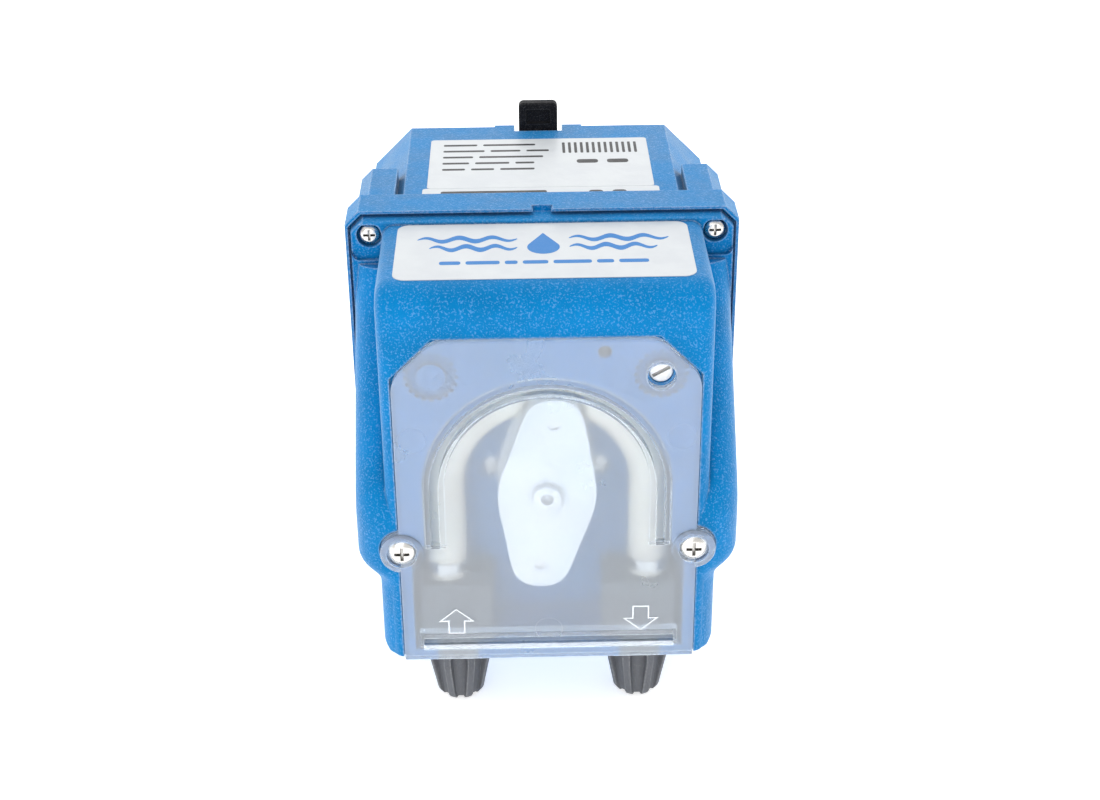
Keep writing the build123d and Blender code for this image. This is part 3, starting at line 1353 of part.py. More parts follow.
def rail_latch():
    """The spring latch that snaps under the rail's upper lip, with its pull tab on top."""
    back = FULL_DEPTH - 0.2
    foot = GUIDE_BOTTOM - HOOK_REACH
    with BuildPart() as latch:
        with BuildSketch(facing(back)):
            with Locations((0, (foot + LATCH_TOP) / 2)):
                Rectangle(LATCH_WIDTH, LATCH_TOP - foot)
        extrude(amount=LATCH_THICK)
        top = [e for e in latch.edges().filter_by(Axis.Y) if height_of(e) > LATCH_TOP - 1]
        fillet(top, radius=1.4)
        rim = [e for e in latch.edges() if height_of(e) > LATCH_TOP - 1.5]
        fillet(rim, radius=0.5)
        # finger recess on the front of the tab
        with BuildSketch(facing(back - LATCH_THICK)):
            with Locations((0, LATCH_TOP - 3.9)):
                RectangleRounded(6.8, 4.0, 0.5)
        extrude(amount=-0.7, mode=Mode.SUBTRACT)
        # side wings that run in the guide's grooves
        with BuildSketch(facing(FULL_DEPTH - LATCH_THICK + 1.0)):
            with Locations((0, (GUIDE_BOTTOM + 2 + LATCH_FOOT_TOP) / 2)):
                Rectangle(GUIDE_WIDTH + 3.4, LATCH_FOOT_TOP - GUIDE_BOTTOM - 2)
        extrude(amount=1.2)
        # nose, sloped so that the rail pushes it up
        with BuildSketch(side_plane(-LATCH_WIDTH / 2)):
            with BuildLine():
                Polyline(
                    (FULL_DEPTH - HOOK_FAR, foot),
                    (FULL_DEPTH - HOOK_FAR, foot + 5.5),
                    (FULL_DEPTH - LATCH_THICK + 0.2, foot + 5.5),
                    (FULL_DEPTH - LATCH_THICK + 0.2, foot),
                    close=True,
                )
            make_face()
        extrude(amount=LATCH_WIDTH)
        with BuildSketch(side_plane(-LATCH_WIDTH)):
            with BuildLine():
                Polyline(
                    (FULL_DEPTH - HOOK_NEAR - 0.4, foot - 1),
                    (FULL_DEPTH, foot - 1),
                    (FULL_DEPTH, foot + 3.2),
                    (FULL_DEPTH - HOOK_NEAR - 0.4, foot),
                    close=True,
                )
            make_face()
        extrude(amount=2 * LATCH_WIDTH, mode=Mode.SUBTRACT)
        # window for the spring and the housing's stop
        with BuildSketch(facing(FULL_DEPTH)):
            with Locations((0, (LATCH_SLOT_LOW + LATCH_SLOT_HIGH) / 2)):
                Rectangle(5.4, LATCH_SLOT_HIGH - LATCH_SLOT_LOW)
        extrude(amount=GUIDE_DEPTH + 2, mode=Mode.SUBTRACT)
    save(latch, "rail_latch")
    with BuildPart() as spring:
        turns = 8
        low, high = 78.2, 93.9
        with BuildLine(level(low + 0.3, 0, FULL_DEPTH - 2.3)):
            Helix(pitch=(high - low - 0.6) / turns, height=high - low - 0.6, radius=1.5)
        start = Plane(
            origin=(1.5, FULL_DEPTH - 2.3 - FULL_DEPTH, BASE + low + 0.3),
            x_dir=(1, 0, 0),
            z_dir=(0, 1, 0),
        )
        with BuildSketch(start):
            Circle(0.28)
        sweep(is_frenet=True)
    save(spring, "latch_spring")


def main():
    """Makes every piece."""
    front_housing()
    rear_housing()
    housing_gasket()
    front_cover()
    all_screws()
    hose()
    connectors()
    rotor()
    gear_train()
    motor()
    panel_board()
    power_board()
    cable_gland()
    labels()
    rail_latch()


main()
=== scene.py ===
"""Looks of the wall-mounted peristaltic pump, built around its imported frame."""

import json
from math import atan2, cos, pi, radians, sin, sqrt

import bmesh
import bpy
from mathutils import Matrix, Vector


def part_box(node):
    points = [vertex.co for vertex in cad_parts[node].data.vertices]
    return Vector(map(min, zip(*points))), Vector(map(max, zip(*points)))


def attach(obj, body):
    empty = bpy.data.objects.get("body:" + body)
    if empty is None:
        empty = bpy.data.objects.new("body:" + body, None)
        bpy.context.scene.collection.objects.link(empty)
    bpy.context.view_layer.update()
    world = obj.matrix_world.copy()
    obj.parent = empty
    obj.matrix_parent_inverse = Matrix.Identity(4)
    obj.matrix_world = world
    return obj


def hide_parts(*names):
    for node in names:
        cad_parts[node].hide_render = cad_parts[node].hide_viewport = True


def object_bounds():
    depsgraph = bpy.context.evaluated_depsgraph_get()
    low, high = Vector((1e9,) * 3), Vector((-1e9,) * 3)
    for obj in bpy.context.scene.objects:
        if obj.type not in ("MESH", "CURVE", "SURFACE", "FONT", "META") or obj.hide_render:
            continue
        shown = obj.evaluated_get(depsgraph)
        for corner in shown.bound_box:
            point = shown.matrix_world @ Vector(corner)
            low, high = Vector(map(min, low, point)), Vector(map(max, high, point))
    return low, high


bl_info = {
    "name": "Peristaltic Pump",
    "version": (1, 0, 0),
    "blender": (4, 5, 0),
    "location": "3D View > Sidebar > Pump",
    "description": "Finishes and detail pieces of a wall-mounted peristaltic pump",
    "category": "Object",
}

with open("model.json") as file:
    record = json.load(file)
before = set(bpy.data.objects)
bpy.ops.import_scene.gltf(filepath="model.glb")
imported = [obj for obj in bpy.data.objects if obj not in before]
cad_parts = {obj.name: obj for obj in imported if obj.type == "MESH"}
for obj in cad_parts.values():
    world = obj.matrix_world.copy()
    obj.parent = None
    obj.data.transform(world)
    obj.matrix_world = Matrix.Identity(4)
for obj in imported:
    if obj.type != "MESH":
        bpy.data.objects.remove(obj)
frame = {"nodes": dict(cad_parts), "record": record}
CAD_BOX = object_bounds()
NODES = frame["nodes"]
MM = 0.001

# places read from the frame
COVER_LOW = Vector(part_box("front_cover")[0])
# the cover's flat face, behind its raised screw collars
COVER_FACE = COVER_LOW.y + 0.9 * MM
HOSE_LOW, HOSE_HIGH = (Vector(c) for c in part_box("pump_hose"))
HOSE_RADIUS = (HOSE_HIGH.y - HOSE_LOW.y) / 2
HOSE_Y = (HOSE_HIGH.y + HOSE_LOW.y) / 2
HOSE_PATH = HOSE_HIGH.x - HOSE_RADIUS
ROTOR_Z = HOSE_HIGH.z - HOSE_RADIUS - HOSE_PATH
ROLLER_LOW, ROLLER_HIGH = (Vector(c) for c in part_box("upper_roller"))
ROLLER_CENTRE = (ROLLER_LOW + ROLLER_HIGH) / 2
ROLLER_RADIUS = (ROLLER_HIGH.x - ROLLER_LOW.x) / 2
HOUSING_LOW = Vector(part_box("front_housing")[0])
# faint rings that the mould left on the cover, as (x, z) in mm, with their radius and line
EJECTOR_MARKS = ((0, -43.2), (32.0, 12.0), (-32.0, 12.0))
MARK_RADIUS = 3.4 * MM
MARK_LINE = 0.12 * MM
# how far the painted shade in a hollow looks for a wall
HOLLOW_SHADE_REACH = 2.8 * MM
# the clouds of a moulded surface, in grains
CLOUD_GRAINS = 22


# ---------------------------------------------------------------- sizes and colours


class PumpColours(bpy.types.PropertyGroup):
    """Colours of the pump's finishes."""

    housing: bpy.props.FloatVectorProperty(
        name="Housing", description="Blue of the two housing halves", subtype="COLOR",
        default=(0.0005, 0.175, 0.45), size=3, min=0, max=1,
    )
    hose: bpy.props.FloatVectorProperty(
        name="Hose", description="Cream of the pump hose", subtype="COLOR",
        default=(0.95, 0.84, 0.70), size=3, min=0, max=1,
    )
    fittings: bpy.props.FloatVectorProperty(
        name="Fittings", description="Dark grey of the connectors and ring nuts", subtype="COLOR",
        default=(0.095, 0.1, 0.112), size=3, min=0, max=1,
    )
    print_blue: bpy.props.FloatVectorProperty(
        name="Print", description="Blue of the front label's print", subtype="COLOR",
        default=(0.0005, 0.17, 0.5), size=3, min=0, max=1,
    )


class PumpSizes(bpy.types.PropertyGroup):
    """Sizes of the pump's surface detail."""

    grain: bpy.props.FloatProperty(
        name="Grain", description="Width of one grain of the housing's texture",
        default=0.0005, unit="LENGTH", min=0.0001, max=0.002,
    )
    edge: bpy.props.FloatProperty(
        name="Edge round", description="Radius of the moulded edges",
        default=0.00035, unit="LENGTH", min=0.00005, max=0.001,
    )
    camera_lens: bpy.props.FloatProperty(
        name="Lens", description="Focal length of the camera", subtype="DISTANCE_CAMERA",
        default=60.1, min=20, max=200,
    )
    light_power: bpy.props.FloatProperty(
        name="Light", description="Power of the overhead light", subtype="POWER",
        default=1.4, min=0, max=100,
    )


def colours():
    """The colour settings of the scene."""
    return bpy.context.scene.pump_colours


def sizes():
    """The size settings of the scene."""
    return bpy.context.scene.pump_sizes


# ---------------------------------------------------------------- node helpers


def add_node(tree, kind, **values):
    """Adds a node, then sets its properties by name and its inputs by socket name."""
    node = tree.nodes.new(kind)
    for name, value in values.items():
        if hasattr(node, name):
            setattr(node, name, value)
        else:
            node.inputs[name.replace("_", " ")].default_value = value
    return node


def join(tree, source, source_name, target, target_name):
    """Links one socket to another."""
    tree.links.new(source.outputs[source_name], target.inputs[target_name])


def new_group(name, inputs, outputs):
    """A shader node group with named float, colour or vector sockets."""
    group = bpy.data.node_groups.new(name, "ShaderNodeTree")
    for socket, kind, default in inputs:
        made = group.interface.new_socket(name=socket, in_out="INPUT", socket_type=kind)
        made.default_value = default
    for socket, kind in outputs:
        group.interface.new_socket(name=socket, in_out="OUTPUT", socket_type=kind)
    return group, group.nodes.new("NodeGroupInput"), group.nodes.new("NodeGroupOutput")


def ramp(tree, low, high, low_value=0.0, high_value=1.0):
    """A map range node from one span to another, clamped and smooth."""
    node = add_node(tree, "ShaderNodeMapRange", interpolation_type="SMOOTHSTEP")
    node.inputs["From Min"].default_value = low
    node.inputs["From Max"].default_value = high
    node.inputs["To Min"].default_value = low_value
    node.inputs["To Max"].default_value = high_value
    return node


def moulded_grain_group():
    """Spark-eroded mould grain: a height and a speckle mask."""
    tree, given, out = new_group(
        "Moulded Grain",
        (("Grain Size", "NodeSocketFloat", 0.0004), ("Cloud Size", "NodeSocketFloat", 0.006)),
        (
            ("Height", "NodeSocketFloat"),
            ("Speckle", "NodeSocketFloat"),
            ("Cloud", "NodeSocketFloat"),
        ),
    )
    where = add_node(tree, "ShaderNodeTexCoord")
    fine = add_node(tree, "ShaderNodeMath", operation="DIVIDE")
    fine.inputs[0].default_value = 1.0
    join(tree, given, "Grain Size", fine, 1)
    wide = add_node(tree, "ShaderNodeMath", operation="DIVIDE")
    wide.inputs[0].default_value = 1.0
    join(tree, given, "Cloud Size", wide, 1)
    grain = add_node(tree, "ShaderNodeTexNoise", Detail=3.0, Roughness=0.62)
    cells = add_node(tree, "ShaderNodeTexVoronoi", feature="F1")
    cloud = add_node(tree, "ShaderNodeTexNoise", Detail=4.0, Roughness=0.55)
    for texture, scale in ((grain, fine), (cells, fine), (cloud, wide)):
        join(tree, where, "Object", texture, "Vector")
        join(tree, scale, "Value", texture, "Scale")
    mix = add_node(tree, "ShaderNodeMath", operation="MULTIPLY_ADD")
    mix.inputs[1].default_value = -0.55
    join(tree, cells, "Distance", mix, 0)
    join(tree, grain, "Fac", mix, 2)
    join(tree, mix, "Value", out, "Height")
    speck = ramp(tree, 0.53, 0.64)
    join(tree, grain, "Fac", speck, "Value")
    join(tree, speck, "Result", out, "Speckle")
    soft = ramp(tree, 0.3, 0.7)
    join(tree, cloud, "Fac", soft, "Value")
    join(tree, soft, "Result", out, "Cloud")
    return tree


def edge_and_hollow_mask_group():
    """Masks of exposed edges and of hollows, broken up by noise; the hollow mask paints shade into
    recesses.
    """
    tree, given, out = new_group(
        "Edge and Hollow Masks",
        (("Reach", "NodeSocketFloat", 0.0007), ("Breakup", "NodeSocketFloat", 1400.0)),
        (("Edge", "NodeSocketFloat"), ("Hollow Shade", "NodeSocketFloat")),
    )
    shape = add_node(tree, "ShaderNodeNewGeometry")
    where = add_node(tree, "ShaderNodeTexCoord")
    soft = add_node(tree, "ShaderNodeBevel", samples=4)
    join(tree, given, "Reach", soft, "Radius")
    turn = add_node(tree, "ShaderNodeVectorMath", operation="DOT_PRODUCT")
    join(tree, soft, "Normal", turn, 0)
    join(tree, shape, "Normal", turn, 1)
    bend = ramp(tree, 0.998, 0.9)
    join(tree, turn, "Value", bend, "Value")
    noise = add_node(tree, "ShaderNodeTexNoise", Detail=3.0, Roughness=0.6)
    join(tree, where, "Object", noise, "Vector")
    join(tree, given, "Breakup", noise, "Scale")
    broken = ramp(tree, 0.35, 0.65, 0.25, 1.0)
    join(tree, noise, "Fac", broken, "Value")
    bright = add_node(tree, "ShaderNodeMath", operation="MULTIPLY")
    join(tree, bend, "Result", bright, 0)
    join(tree, broken, "Result", bright, 1)
    crest = ramp(tree, 0.49, 0.53)
    join(tree, shape, "Pointiness", crest, "Value")
    edge = add_node(tree, "ShaderNodeMath", operation="MULTIPLY")
    join(tree, bright, "Value", edge, 0)
    join(tree, crest, "Result", edge, 1)
    join(tree, edge, "Value", out, "Edge")
    # painted shade: an occlusion mask, strongest where walls close in around a hollow
    open_sky = add_node(tree, "ShaderNodeAmbientOcclusion", samples=6, only_local=True)
    open_sky.inputs["Distance"].default_value = HOLLOW_SHADE_REACH
    dip = ramp(tree, 0.92, 0.45)
    join(tree, open_sky, "AO", dip, "Value")
    join(tree, dip, "Result", out, "Hollow Shade")
    return tree


def hairline_group():
    """Fine handling marks, as a mask and a height."""
    tree, given, out = new_group(
        "Hairlines",
        (("Density", "NodeSocketFloat", 400.0), ("Stretch", "NodeSocketVector", (1.0, 1.0, 9.0))),
        (("Mark", "NodeSocketFloat"), ("Height", "NodeSocketFloat")),
    )
    where = add_node(tree, "ShaderNodeTexCoord")
    turn = add_node(tree, "ShaderNodeMapping")
    turn.inputs["Rotation"].default_value = (0.4, 0.7, 0.3)
    join(tree, where, "Object", turn, "Vector")
    join(tree, given, "Stretch", turn, "Scale")
    noise = add_node(tree, "ShaderNodeTexNoise", Detail=6.0, Roughness=0.7)
    join(tree, turn, "Vector", noise, "Vector")
    join(tree, given, "Density", noise, "Scale")
    mark = ramp(tree, 0.56, 0.66)
    join(tree, noise, "Fac", mark, "Value")
    join(tree, mark, "Result", out, "Mark")
    join(tree, noise, "Fac", out, "Height")
    return tree


def build_groups():
    """Builds the shared effects once."""
    moulded_grain_group()
    edge_and_hollow_mask_group()
    hairline_group()


def use_group(tree, name, **values):
    """Places a shared effect in a material with its own values."""
    node = add_node(tree, "ShaderNodeGroup")
    node.node_tree = bpy.data.node_groups[name]
    for socket, value in values.items():
        node.inputs[socket.replace("_", " ")].default_value = value
    return node


def mix_colour(tree, factor, factor_name, first, second, amount=1.0):
    """Mixes two colours by a mask that is first scaled by an amount."""
    scaled = add_node(tree, "ShaderNodeMath", operation="MULTIPLY", use_clamp=True)
    scaled.inputs[1].default_value = amount
    join(tree, factor, factor_name, scaled, 0)
    mix = add_node(tree, "ShaderNodeMix", data_type="RGBA")
    join(tree, scaled, "Value", mix, 0)
    for socket, value in ((6, first), (7, second)):
        if isinstance(value, bpy.types.NodeSocket):
            tree.links.new(value, mix.inputs[socket])
        else:
            mix.inputs[socket].default_value = (*value[:3], 1.0)
    return mix.outputs[2]


def new_material(name, **values):
    """A material with an empty tree, its Principled shader and its output."""
    material = bpy.data.materials.new(name)
    material.use_nodes = True
    tree = material.node_tree
    tree.nodes.clear()
    shader = tree.nodes.new("ShaderNodeBsdfPrincipled")
    output = tree.nodes.new("ShaderNodeOutputMaterial")
    join(tree, shader, "BSDF", output, "Surface")
    for socket, value in values.items():
        shader.inputs[socket.replace("_", " ")].default_value = value
    return material, tree, shader


def add_bump(tree, shader, source, name, distance):
    """Feeds a height into the shader's normal, with its depth in metres."""
    bump = add_node(tree, "ShaderNodeBump", Strength=1.0, Distance=distance)
    join(tree, source, name, bump, "Height")
    join(tree, bump, "Normal", shader, "Normal")


def shade(colour, factor):
    """A colour scaled towards black or white."""
    return tuple(min(1.0, c * factor) for c in colour[:3])


def toned(colour, amount):
    """A colour mixed with white."""
    return tuple(c + (1 - c) * amount for c in colour[:3])


# ---------------------------------------------------------------- materials


def moulded_plastic(name, colour, grain, depth, rough, speckle=0.35, worn=0.35, **values):
    """Moulded plastic with grain, cloudy tone, worn edges and painted shade in its hollows."""
    material, tree, shader = new_material(name, **values)
    cloud_size = grain * CLOUD_GRAINS
    texture = use_group(tree, "Moulded Grain", Grain_Size=grain, Cloud_Size=cloud_size)
    edge_and_hollow_masks = use_group(tree, "Edge and Hollow Masks")
    lines = use_group(tree, "Hairlines")
    cloudy = mix_colour(tree, texture, "Cloud", shade(colour, 0.9), shade(colour, 1.08))
    specks = mix_colour(tree, texture, "Speckle", cloudy, toned(shade(colour, 1.3), 0.12), speckle)
    # painted shade: the colour darkened in hollows by the occlusion mask
    painted_hollow_shade = mix_colour(tree, edge_and_hollow_masks, "Hollow Shade", specks, shade(colour, 0.42), 0.75)
    edged = mix_colour(tree, edge_and_hollow_masks, "Edge", painted_hollow_shade, toned(colour, 0.42), worn)
    tree.links.new(edged, shader.inputs["Base Color"])
    roughness = ramp(tree, 0.0, 1.0, rough - 0.05, rough + 0.07)
    join(tree, texture, "Cloud", roughness, "Value")
    marked = add_node(tree, "ShaderNodeMath", operation="MULTIPLY_ADD")
    marked.inputs[1].default_value = -0.08
    join(tree, lines, "Mark", marked, 0)
    join(tree, roughness, "Result", marked, 2)
    join(tree, marked, "Value", shader, "Roughness")
    add_bump(tree, shader, texture, "Height", depth)
    return material


def metal(name, colour, rough, stretch=(1.0, 1.0, 9.0), density=900.0):
    """Plated or turned metal with hairlines and painted shade in its hollows."""
    material, tree, shader = new_material(name, Metallic=1.0)
    lines = use_group(tree, "Hairlines", Density=density, Stretch=stretch)
    edge_and_hollow_masks = use_group(tree, "Edge and Hollow Masks")
    stained = mix_colour(tree, lines, "Mark", colour, shade(colour, 0.86), 0.5)
    # painted shade: the colour darkened in hollows by the occlusion mask
    hollow = mix_colour(tree, edge_and_hollow_masks, "Hollow Shade", stained, shade(colour, 0.4), 0.8)
    bright = mix_colour(tree, edge_and_hollow_masks, "Edge", hollow, toned(colour, 0.4), 0.6)
    tree.links.new(bright, shader.inputs["Base Color"])
    roughness = ramp(tree, 0.3, 0.7, rough, rough + 0.16)
    join(tree, lines, "Height", roughness, "Value")
    join(tree, roughness, "Result", shader, "Roughness")
    add_bump(tree, shader, lines, "Height", 0.00001)
    return material


def cover_material():
    """Clear cover: polished in front and frosted behind, with a faint milky tint."""
    material, tree, shader = new_material(
        "Clear Cover", Transmission_Weight=0.84, IOR=1.32, Coat_Weight=0.3, Coat_Roughness=0.05
    )
    where = add_node(tree, "ShaderNodeTexCoord")
    split = add_node(tree, "ShaderNodeSeparateXYZ")
    join(tree, where, "Object", split, "Vector")
    back = ramp(tree, COVER_LOW.y + 0.0015, COVER_LOW.y + 0.003, 0.05, 0.27)
    join(tree, split, "Y", back, "Value")
    texture = use_group(tree, "Moulded Grain", Grain_Size=0.0006, Cloud_Size=0.02)
    vary = add_node(tree, "ShaderNodeMath", operation="MULTIPLY_ADD")
    vary.inputs[1].default_value = 0.06
    join(tree, texture, "Cloud", vary, 0)
    join(tree, back, "Result", vary, 2)
    tint = mix_colour(tree, texture, "Cloud", (0.88, 0.94, 0.99), (0.91, 0.95, 1.0))
    tree.links.new(tint, shader.inputs["Base Color"])
    sheen = vary
    for x, z in EJECTOR_MARKS:
        away = add_node(tree, "ShaderNodeVectorMath", operation="DISTANCE")
        flat = add_node(tree, "ShaderNodeCombineXYZ", Y=COVER_LOW.y)
        join(tree, split, "X", flat, "X")
        join(tree, split, "Z", flat, "Z")
        join(tree, flat, "Vector", away, 0)
        away.inputs[1].default_value = (x * MM, COVER_LOW.y, z * MM)
        rim = add_node(tree, "ShaderNodeMath", operation="COMPARE")
        rim.inputs[1].default_value = MARK_RADIUS
        rim.inputs[2].default_value = MARK_LINE
        join(tree, away, "Value", rim, 0)
        both = add_node(tree, "ShaderNodeMath", operation="MULTIPLY_ADD")
        both.inputs[1].default_value = 0.22
        join(tree, rim, "Value", both, 0)
        join(tree, sheen, "Value", both, 2)
        sheen = both
    join(tree, sheen, "Value", shader, "Roughness")
    add_bump(tree, shader, texture, "Cloud", 0.00001)
    # painted glow: emission on the rim and on the walls of the grooves
    edge_and_hollow_masks = use_group(tree, "Edge and Hollow Masks", Reach=0.0005)
    painted_edge_glow = mix_colour(tree, edge_and_hollow_masks, "Edge", (0, 0, 0), (0.8, 0.9, 1.0), 0.8)
    tree.links.new(painted_edge_glow, shader.inputs["Emission Color"])
    shader.inputs["Emission Strength"].default_value = 0.6
    # lamps shine through onto what lies behind
    path = add_node(tree, "ShaderNodeLightPath")
    clear = add_node(tree, "ShaderNodeBsdfTransparent")
    clear.inputs["Color"].default_value = (0.72, 0.78, 0.84, 1)
    through = add_node(tree, "ShaderNodeMixShader")
    join(tree, path, "Is Shadow Ray", through, 0)
    join(tree, shader, "BSDF", through, 1)
    join(tree, clear, "BSDF", through, 2)
    join(tree, through, "Shader", tree.nodes["Material Output"], "Surface")
    return material


def film_material():
    """Printed label film: satin white with a faint curl in its surface."""
    material, tree, shader = new_material("Label Film", Coat_Weight=0.25, Coat_Roughness=0.2)
    texture = use_group(tree, "Moulded Grain", Grain_Size=0.0005, Cloud_Size=0.009)
    lines = use_group(tree, "Hairlines")
    tone = mix_colour(tree, texture, "Cloud", (0.54, 0.57, 0.60), (0.60, 0.63, 0.65))
    marked = mix_colour(tree, lines, "Mark", tone, (0.55, 0.58, 0.62), 0.25)
    tree.links.new(marked, shader.inputs["Base Color"])
    roughness = ramp(tree, 0.0, 1.0, 0.3, 0.42)
    join(tree, texture, "Cloud", roughness, "Value")
    join(tree, roughness, "Result", shader, "Roughness")
    add_bump(tree, shader, texture, "Cloud", 0.00008)
    return material


def ink_material(name, colour):
    """Printed ink with slightly uneven cover."""
    material, tree, shader = new_material(name, Specular_IOR_Level=0.3)
    texture = use_group(tree, "Moulded Grain", Grain_Size=0.0003, Cloud_Size=0.003)
    tone = mix_colour(tree, texture, "Cloud", colour, toned(colour, 0.03))
    specks = mix_colour(tree, texture, "Speckle", tone, toned(colour, 0.15), 0.2)
    tree.links.new(specks, shader.inputs["Base Color"])
    roughness = ramp(tree, 0.0, 1.0, 0.35, 0.5)
    join(tree, texture, "Cloud", roughness, "Value")
    join(tree, roughness, "Result", shader, "Roughness")
    add_bump(tree, shader, texture, "Height", 0.000004)
    return material


def board_material():
    """Solder mask with copper tracks showing through as lighter lanes."""
    material, tree, shader = new_material("Solder Mask", Coat_Weight=0.4, Coat_Roughness=0.15)
    where = add_node(tree, "ShaderNodeTexCoord")
    tracks = add_node(tree, "ShaderNodeTexBrick", Scale=160.0, Mortar_Size=0.03)
    tracks.inputs["Color1"].default_value = (0.01, 0.12, 0.05, 1)
    tracks.inputs["Color2"].default_value = (0.012, 0.15, 0.06, 1)
    tracks.inputs["Mortar"].default_value = (0.03, 0.26, 0.1, 1)
    join(tree, where, "Object", tracks, "Vector")
    texture = use_group(tree, "Moulded Grain", Grain_Size=0.0003)
    tone = mix_colour(tree, texture, "Cloud", tracks.outputs["Color"], (0.01, 0.1, 0.04), 0.4)
    tree.links.new(tone, shader.inputs["Base Color"])
    roughness = ramp(tree, 0.0, 1.0, 0.28, 0.42)
    join(tree, texture, "Cloud", roughness, "Value")
    join(tree, roughness, "Result", shader, "Roughness")
    add_bump(tree, shader, tracks, "Fac", 0.00003)
    return material


def build_materials():
    """Every finish, by the record's slot name."""
    blue = tuple(colours().housing)
    grey = tuple(colours().fittings)
    grain = sizes().grain
    edge_glow = {
        "Specular_IOR_Level": 0.35, "Specular_Tint": (0.1, 0.55, 1.0, 1.0),
        "Sheen_Weight": 0.22, "Sheen_Roughness": 0.35, "Sheen_Tint": (0.75, 0.93, 1.0, 1.0),
    }
    milky = {"Subsurface_Weight": 0.3, "Subsurface_Radius": (0.002, 0.0018, 0.0015)}
    made = {
        "blue_plastic": moulded_plastic(
            "Blue Grained Plastic", blue, grain, 0.00011, 0.46, 0.6, 0.8, **edge_glow
        ),
        "clear_cover": cover_material(),
        "white_plastic": moulded_plastic(
            "White Acetal", (0.95, 0.95, 0.93), 0.0008, 0.00001, 0.34, 0.15, 0.1, **milky
        ),
        "hose_elastomer": moulded_plastic(
            "Cream Elastomer", tuple(colours().hose), 0.0009, 0.00002, 0.5, 0.2, 0.1, **milky
        ),
        "grey_plastic": moulded_plastic(
            "Dark Grey Nylon", grey, 0.0003, 0.00003, 0.5, 0.35, 0.5, Specular_IOR_Level=0.35
        ),
        "black_plastic": moulded_plastic(
            "Black Plastic", (0.004, 0.004, 0.006), 0.0003, 0.00002, 0.5, 0.3, 0.08,
            Specular_IOR_Level=0.12,
        ),
        "label_film": film_material(),
        "nickel_steel": metal("Nickel Plate", (0.72, 0.70, 0.67), 0.16),
        "plated_can": metal("Zinc Plate", (0.6, 0.61, 0.63), 0.3, (1.0, 9.0, 1.0)),
        "armature_iron": metal("Laminated Iron", (0.3, 0.28, 0.27), 0.42, (1.0, 60.0, 1.0), 200.0),
        "brass": metal("Turned Brass", (0.78, 0.55, 0.24), 0.22),
        "rubber_seal": moulded_plastic(
            "Black Rubber", (0.02, 0.02, 0.021), 0.0005, 0.00002, 0.6, 0.3, 0.2
        ),
        "grip_white": moulded_plastic(
            "Natural Nylon", (0.7, 0.69, 0.64), 0.0005, 0.00001, 0.4, 0.2, 0.1
        ),
        "board_green": board_material(),
        "lamp_lens": moulded_plastic(
            "Smoked Lens", (0.02, 0.02, 0.024), 0.0006, 0.000005, 0.2, 0.1, 0.1, Coat_Weight=0.6
        ),
        "transformer_case": moulded_plastic(
            "Potted Case", (0.75, 0.5, 0.05), 0.0005, 0.00002, 0.4, 0.2, 0.3
        ),
        "terminal_green": moulded_plastic(
            "Terminal Green", (0.03, 0.3, 0.12), 0.0004, 0.00002, 0.35, 0.2, 0.3
        ),
    }
    return made


MATERIALS = {}


def slot_of(node):
    """The record's material slot of a node."""
    for row in frame["record"]["subparts"]:
        if row["node"] == node:
            return row["material_slot"]
    raise ValueError(f"no slot for {node}")


def dress(node, width=None, angle=35.0, segments=3, shrink=0.0):
    """Gives a CAD node its finish and, by modifiers alone, soft moulded edges."""
    piece = NODES[node]
    piece.data.materials.clear()
    piece.data.materials.append(MATERIALS[slot_of(node)])
    if width:
        weld = piece.modifiers.new("Weld", "WELD")
        weld.merge_threshold = 0.000002
        if shrink:
            gap = piece.modifiers.new("Air gap", "DISPLACE")
            gap.strength = -shrink
            gap.mid_level = 0.0
        bevel = piece.modifiers.new("Soft edges", "BEVEL")
        bevel.width = width
        bevel.segments = segments
        bevel.limit_method = "ANGLE"
        bevel.angle_limit = radians(angle)
        bevel.harden_normals = True
        bevel.use_clamp_overlap = True
        normals = piece.modifiers.new("Normals", "WEIGHTED_NORMAL")
        normals.keep_sharp = True


def new_piece(name, mesh, slot, body, smooth=True):
    """Links a new mesh piece, smooth, with its finish, on its body."""
    piece = bpy.data.objects.new(name, mesh)
    bpy.context.scene.collection.objects.link(piece)
    mesh.materials.append(MATERIALS[slot])
    if smooth:
        mesh.polygons.foreach_set("use_smooth", [True] * len(mesh.polygons))
    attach(piece, body)
    return piece


def mesh_from(name, points, faces):
    """A mesh from points in metres and faces."""
    mesh = bpy.data.meshes.new(name)
    mesh.from_pydata(points, [], faces)
    mesh.validate()
    mesh.update()
    return mesh


def tube_faces(rings, around, closed=False, offset=0):
    """Quads that join rings of points in order."""
    faces = []
    for k in range(rings if closed else rings - 1):
        for i in range(around):
            j = (i + 1) % around
            low, high = offset + k * around, offset + (k + 1) % rings * around
            faces.append((low + i, low + j, high + j, high + i))
    return faces


# ---------------------------------------------------------------- pieces


class PieceOperator:
    """What the operators of all pieces share."""

    bl_options = {"REGISTER", "UNDO"}

    def execute(self, context):
        """Makes the piece and reports it as done."""
        self.make()
        return {"FINISHED"}


class PUMP_OT_finishes(PieceOperator, bpy.types.Operator):
    """Build the shared effects and every finish"""

    bl_idname = "pump.finishes"
    bl_label = "Finishes"

    def make(self):
        build_groups()
        MATERIALS.update(build_materials())


class PUMP_OT_housing(PieceOperator, bpy.types.Operator):
    """Finish the two housing halves and their seal"""

    bl_idname = "pump.housing"
    bl_label = "Housing"

    def make(self):
        edge = sizes().edge
        dress("front_housing", edge)
        dress("rear_housing", edge)
        dress("housing_gasket")


